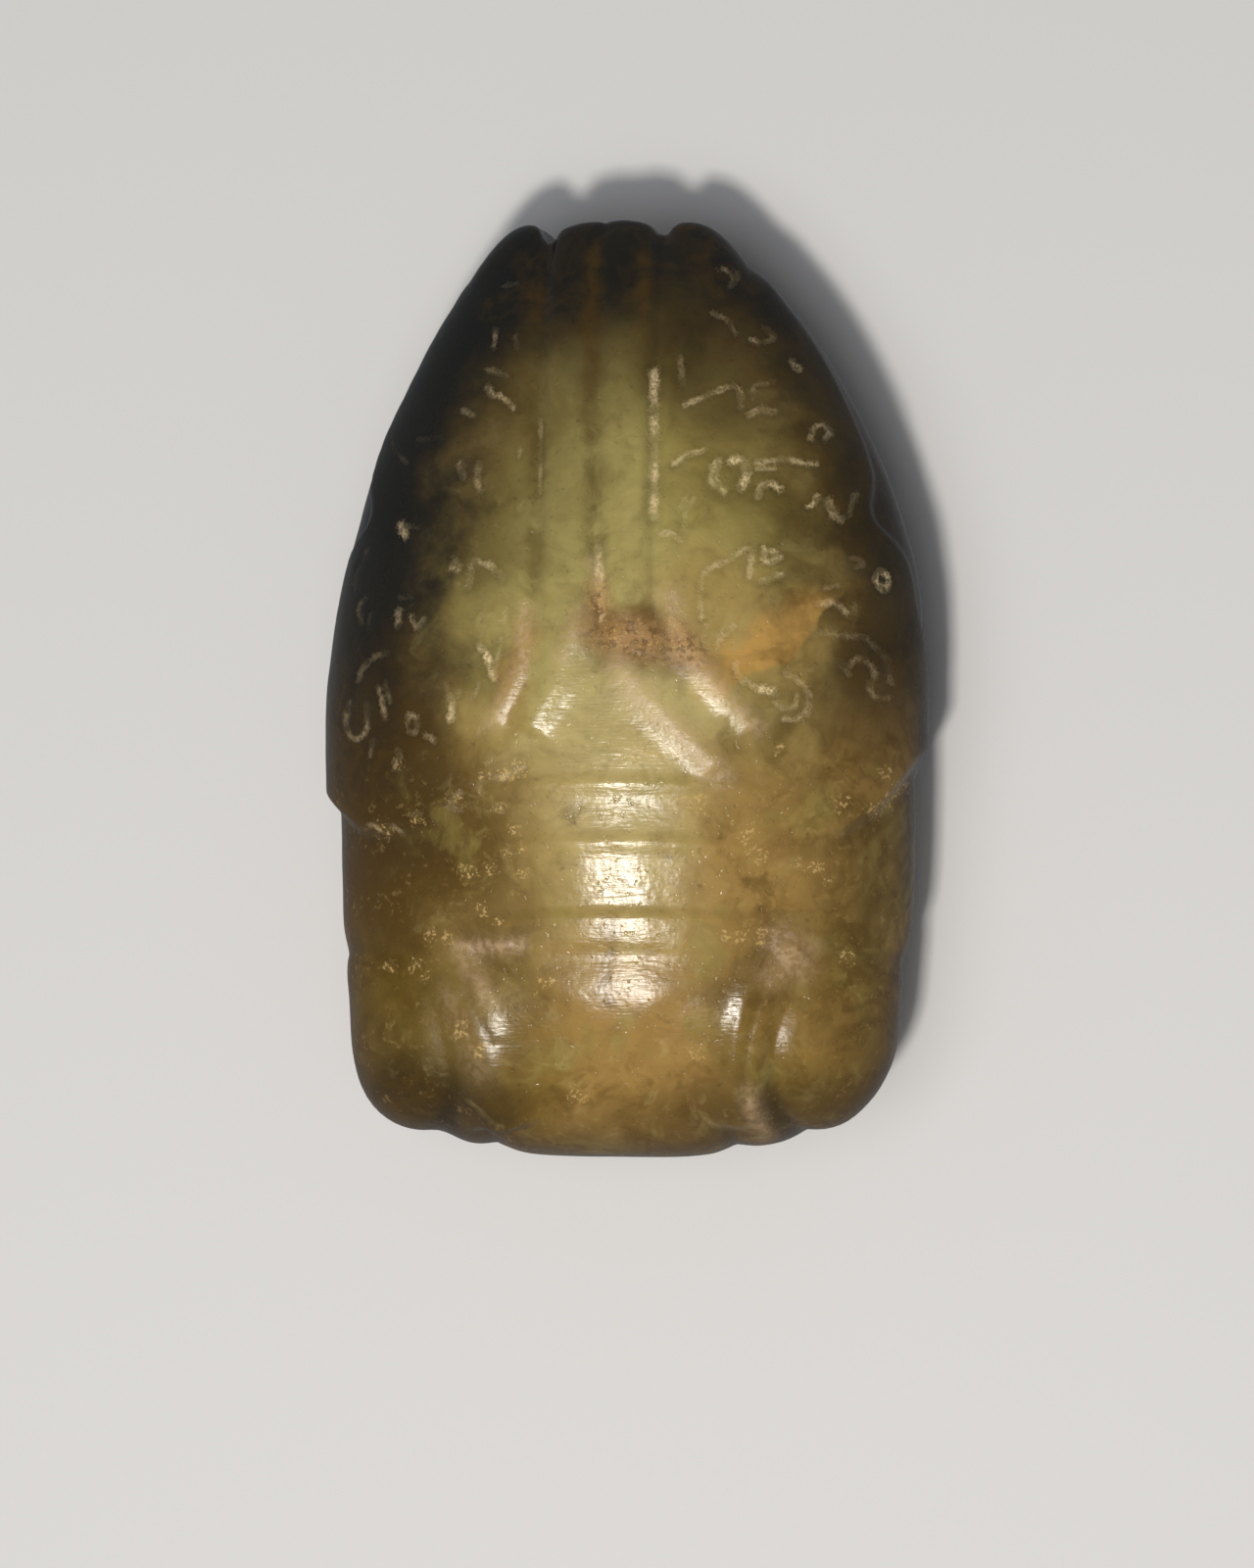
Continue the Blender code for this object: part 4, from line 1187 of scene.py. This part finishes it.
        # partly painted highlight: by the left eye this pale colour stands for the eye's sheen and its
        # ridge's highlight
        self.coat(rubbed_and_sheen * 0.65, "rubbed_and_sheen")
        chips = self.paint.attribute("chips")
        crumbled = (chips + (self.flecks - 0.5) * 2.6).step(0.30, 0.80) * chips.step(0.02, 0.20)
        self.coat(crumbled * (self.crumbs.step(0.52, 0.60) * 0.62 + 0.05), "gold")
        self.coat(raw * 0.55, "rust")
        self.coat(raw * self.flecks.step(0.45, 0.62) * 0.7, "russet")
        self.coat(raw * self.crumbs.step(0.42, 0.34) * 0.55, "gold")

    def polish(self, cut, raw, rubbed_and_sheen):
        """How dull the skin is, and how uneven."""
        dull = (cut * CUT_DULLNESS).over(raw * RAW_DULLNESS).over(rubbed_and_sheen * RUBBED_DULLNESS)
        dull = dull.over(self.paint.attribute("dull") * BARELY_POLISHED)
        self.paint.link("Roughness", self.clouds.step(0.2, 0.8) * POLISH_CHANGE + POLISH + dull)
        grain = self.crumbs * (dull * DULL_GRAIN_HEIGHT + GRAIN_HEIGHT)
        lumps = self.paint.clouds(self.at, *LUMPS) * LUMP_HEIGHT + self.flecks * FLECK_HEIGHT
        stretched = self.paint.stretched(self.at, SCRATCH_STRETCH)
        scratches = self.paint.clouds(stretched, *SCRATCHES) * SCRATCH_HEIGHT
        pits = self.paint.clouds(self.at, *PITS).step(0.66, 0.76) * PIT_HEIGHT
        height = grain + lumps + scratches + pits - cut * CUT_DEPTH
        inputs = {"Height": height, "Distance": MM, "Strength": 1.0}
        self.paint.link("Normal", self.paint.node("ShaderNodeBump", inputs=inputs))


def jade_material(colours):
    paint = Paint("jade")
    stone = Stone(paint, colours)
    # the mask of the dark edges, partly painted shade, which later coats follow
    edges = stone.shaded_dark_edges()
    stone.grow()
    stone.darken_and_shade()
    stone.vein()
    stone.deepen(edges)
    cut = stone.engrave(edges)
    raw = paint.attribute("raw")
    # the places dulled by rubbing, which by the left eye also carry a painted sheen
    rubbed_and_sheen = paint.attribute("worn") * (stone.flecks.step(0.40, 0.60) * 0.6 + 0.4)
    stone.wear(raw, rubbed_and_sheen)
    paint.link("Base Color", stone.colour)
    stone.polish(cut, raw, rubbed_and_sheen)
    for name, value in JADE_CONSTANTS.items():
        paint.link(name, value)
    return paint.material


class CicadaSizes(bpy.types.PropertyGroup):
    engraving_depth: bpy.props.FloatProperty(
        name="Engraving depth",
        description="How deep the engraver's strokes are cut into the wings",
        default=0.07 * MM,
        unit="LENGTH",
    )
    hand_unevenness: bpy.props.FloatProperty(
        name="Unevenness",
        description="How far the hand-polished skin wanders from a true surface",
        default=0.05 * MM,
        unit="LENGTH",
    )


def jade_colour(name, description, default):
    return bpy.props.FloatVectorProperty(name=name, description=description, default=default, subtype="COLOR")


class JadeColours(bpy.types.PropertyGroup):
    olive: jade_colour("Olive", "The darker of the two body colours", (0.110, 0.070, 0.014))
    honey: jade_colour("Honey", "The lighter of the two body colours", (0.400, 0.278, 0.090))
    heart: jade_colour("Heart", "The yellow-green of the wings' inner halves", (0.300, 0.245, 0.066))
    green: jade_colour("Green", "The lighter green beside the collar's point", (0.440, 0.375, 0.135))
    pale: jade_colour("Pale", "The palest green, between the collar's arms", (0.500, 0.410, 0.175))
    amber: jade_colour("Amber", "The yellow-brown of the face and the right flank", (0.352, 0.216, 0.062))
    bronze: jade_colour("Bronze", "The olive brown of the eyes", (0.145, 0.092, 0.010))
    russet: jade_colour("Russet", "Brown staining", (0.083, 0.044, 0.005))
    # umber also paints the shade on the flanks, the left side and the tail, and beside the strokes
    umber: jade_colour("Umber", "The darkest brown, towards the tail", (0.020, 0.012, 0.003))
    ochre: jade_colour("Ochre", "The orange skin of the pebble on the right wing", (0.505, 0.305, 0.085))
    gold: jade_colour("Gold", "Light specks in the brown stains", (0.640, 0.450, 0.180))
    # the rim colour also paints the shade on the tail and on the wings' outer edges
    rim: jade_colour("Rim", "The blue-black of the tail and of the wings' edges", (0.007, 0.008, 0.007))
    rust: jade_colour("Rust", "The red-brown of the raw stone at the collar's point", (0.520, 0.290, 0.110))
    frost: jade_colour("Frost", "The unpolished white in the engraver's strokes", (0.800, 0.640, 0.360))
    # this colour also paints the sheen and highlight by the left eye
    rubbed_and_sheen: jade_colour("Rubbed", "The dull pink-brown of rubbed and broken places", (0.600, 0.430, 0.270))


class StudioSettings(bpy.types.PropertyGroup):
    roll: bpy.props.FloatProperty(
        name="Camera roll",
        description="How far round the cicada's right side the camera stands, from straight above",
        default=math.radians(8.0),
        subtype="ANGLE",
    )
    distance: bpy.props.FloatProperty(
        name="Camera distance",
        description="From the lens to the middle of the picture",
        default=430 * MM,
        unit="LENGTH",
    )
    picture_height: bpy.props.FloatProperty(
        name="Picture height",
        description="How much the picture takes in, top to bottom",
        default=100.8 * MM,
        unit="LENGTH",
    )
    floor: jade_colour("Floor", "The plain floor", (0.655, 0.660, 0.675))
    key: bpy.props.FloatProperty(
        name="Key light",
        description="Power of the small light over the head",
        default=1.85,
        unit="POWER",
    )
    fill: bpy.props.FloatProperty(
        name="Soft light",
        description="Power of the large soft light round the key",
        default=1.4,
        unit="POWER",
    )


class CICADA_OT_carve(bpy.types.Operator):
    """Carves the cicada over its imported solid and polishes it"""

    bl_idname = "cicada.carve"
    bl_label = "Carve the cicada"

    def execute(self, context):
        cicada = carve(context.scene.cicada_sizes)
        cicada.data.materials.append(jade_material(context.scene.jade_colours))
        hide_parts(NODE)
        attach(cicada, "root")
        return {"FINISHED"}


def soft_light(name, place, size, power, target):
    bpy.ops.object.light_add(type="AREA", location=place)
    light = bpy.context.object
    light.name = name
    light.data.shape = "SQUARE"
    light.data.size = size
    light.data.energy = power
    light.rotation_mode = "QUATERNION"
    light.rotation_quaternion = (Vector(target) - Vector(place)).to_track_quat("-Z", "Y")
    return light


class CICADA_OT_studio(bpy.types.Operator):
    """Lays the pale floor, hangs the soft lights and sets the camera above the cicada"""

    bl_idname = "cicada.studio"
    bl_label = "Set up the studio"

    def execute(self, context):
        studio = context.scene.studio_settings
        self.lay_floor(studio)
        self.hang_lights(context, studio)
        self.set_camera(context, studio)
        return {"FINISHED"}

    def lay_floor(self, studio):
        bpy.ops.object.select_all(action="DESELECT")
        bpy.ops.mesh.primitive_plane_add(size=FLOOR_SIZE)
        floor = bpy.context.object
        floor.name = "floor"
        paint = Paint("pale floor")
        paint.link("Base Color", studio.floor)
        paint.link("Roughness", FLOOR_ROUGHNESS)
        floor.data.materials.append(paint.material)
        floor.visible_glossy = False

    def hang_lights(self, context, studio):
        for name, place, size, power, colour in LIGHTS:
            light = soft_light(name, place, size, getattr(studio, power), AIM)
            light.data.color = colour
            light.visible_glossy = name == "key"
        world = bpy.data.worlds.new("studio air")
        world.use_nodes = True
        tree = world.node_tree
        background = tree.nodes["Background"]
        background.inputs["Color"].default_value = AIR_COLOUR
        ray = tree.nodes.new("ShaderNodeLightPath").outputs["Is Glossy Ray"]
        strength = tree.nodes.new("ShaderNodeMix")
        strength.inputs["A"].default_value = AIR_STRENGTH
        strength.inputs["B"].default_value = AIR_REFLECTED
        tree.links.new(ray, strength.inputs["Factor"])
        tree.links.new(strength.outputs["Result"], background.inputs["Strength"])
        context.scene.world = world
        context.scene.view_settings.view_transform = "Standard"

    def set_camera(self, context, studio):
        bpy.ops.object.camera_add()
        camera = bpy.context.object
        camera.name = "camera"
        back = Vector((math.sin(studio.roll), 0.0, math.cos(studio.roll)))
        up = Vector((0.0, 1.0, 0.0))
        turn = Matrix((up.cross(back), up, back)).transposed().to_4x4()
        camera.matrix_world = Matrix.Translation(Vector(AIM) + back * studio.distance) @ turn
        camera.data.sensor_fit = "VERTICAL"
        camera.data.sensor_height = SENSOR
        camera.data.lens = SENSOR * studio.distance / studio.picture_height
        camera.data.clip_start = NEAR_CLIP
        camera.data.clip_end = FAR_CLIP
        context.scene.camera = camera


class CICADA_PT_panel(bpy.types.Panel):
    """The sizes and colours of the cicada, and the buttons that make it"""

    bl_idname = "CICADA_PT_panel"
    bl_label = "Jade cicada"
    bl_space_type = "VIEW_3D"
    bl_region_type = "UI"
    bl_category = "Cicada"

    def draw(self, context):
        for operator, group in (("cicada.carve", "cicada_sizes"), ("cicada.studio", "studio_settings")):
            box = self.layout.box()
            settings = getattr(context.scene, group)
            for name in settings.__annotations__:
                box.prop(settings, name)
            box.operator(operator)
        box = self.layout.box()
        for name in JadeColours.__annotations__:
            box.prop(context.scene.jade_colours, name)


GROUPS = {"cicada_sizes": CicadaSizes, "jade_colours": JadeColours, "studio_settings": StudioSettings}
CLASSES = (*GROUPS.values(), CICADA_OT_carve, CICADA_OT_studio, CICADA_PT_panel)


def register():
    for made in CLASSES:
        bpy.utils.register_class(made)
    for name, group in GROUPS.items():
        setattr(bpy.types.Scene, name, bpy.props.PointerProperty(type=group))


def unregister():
    for name in GROUPS:
        delattr(bpy.types.Scene, name)
    for made in reversed(CLASSES):
        bpy.utils.unregister_class(made)


def main():
    register()
    bpy.ops.cicada.carve()
    bpy.ops.cicada.studio()


if __name__ == "__main__":
    main()
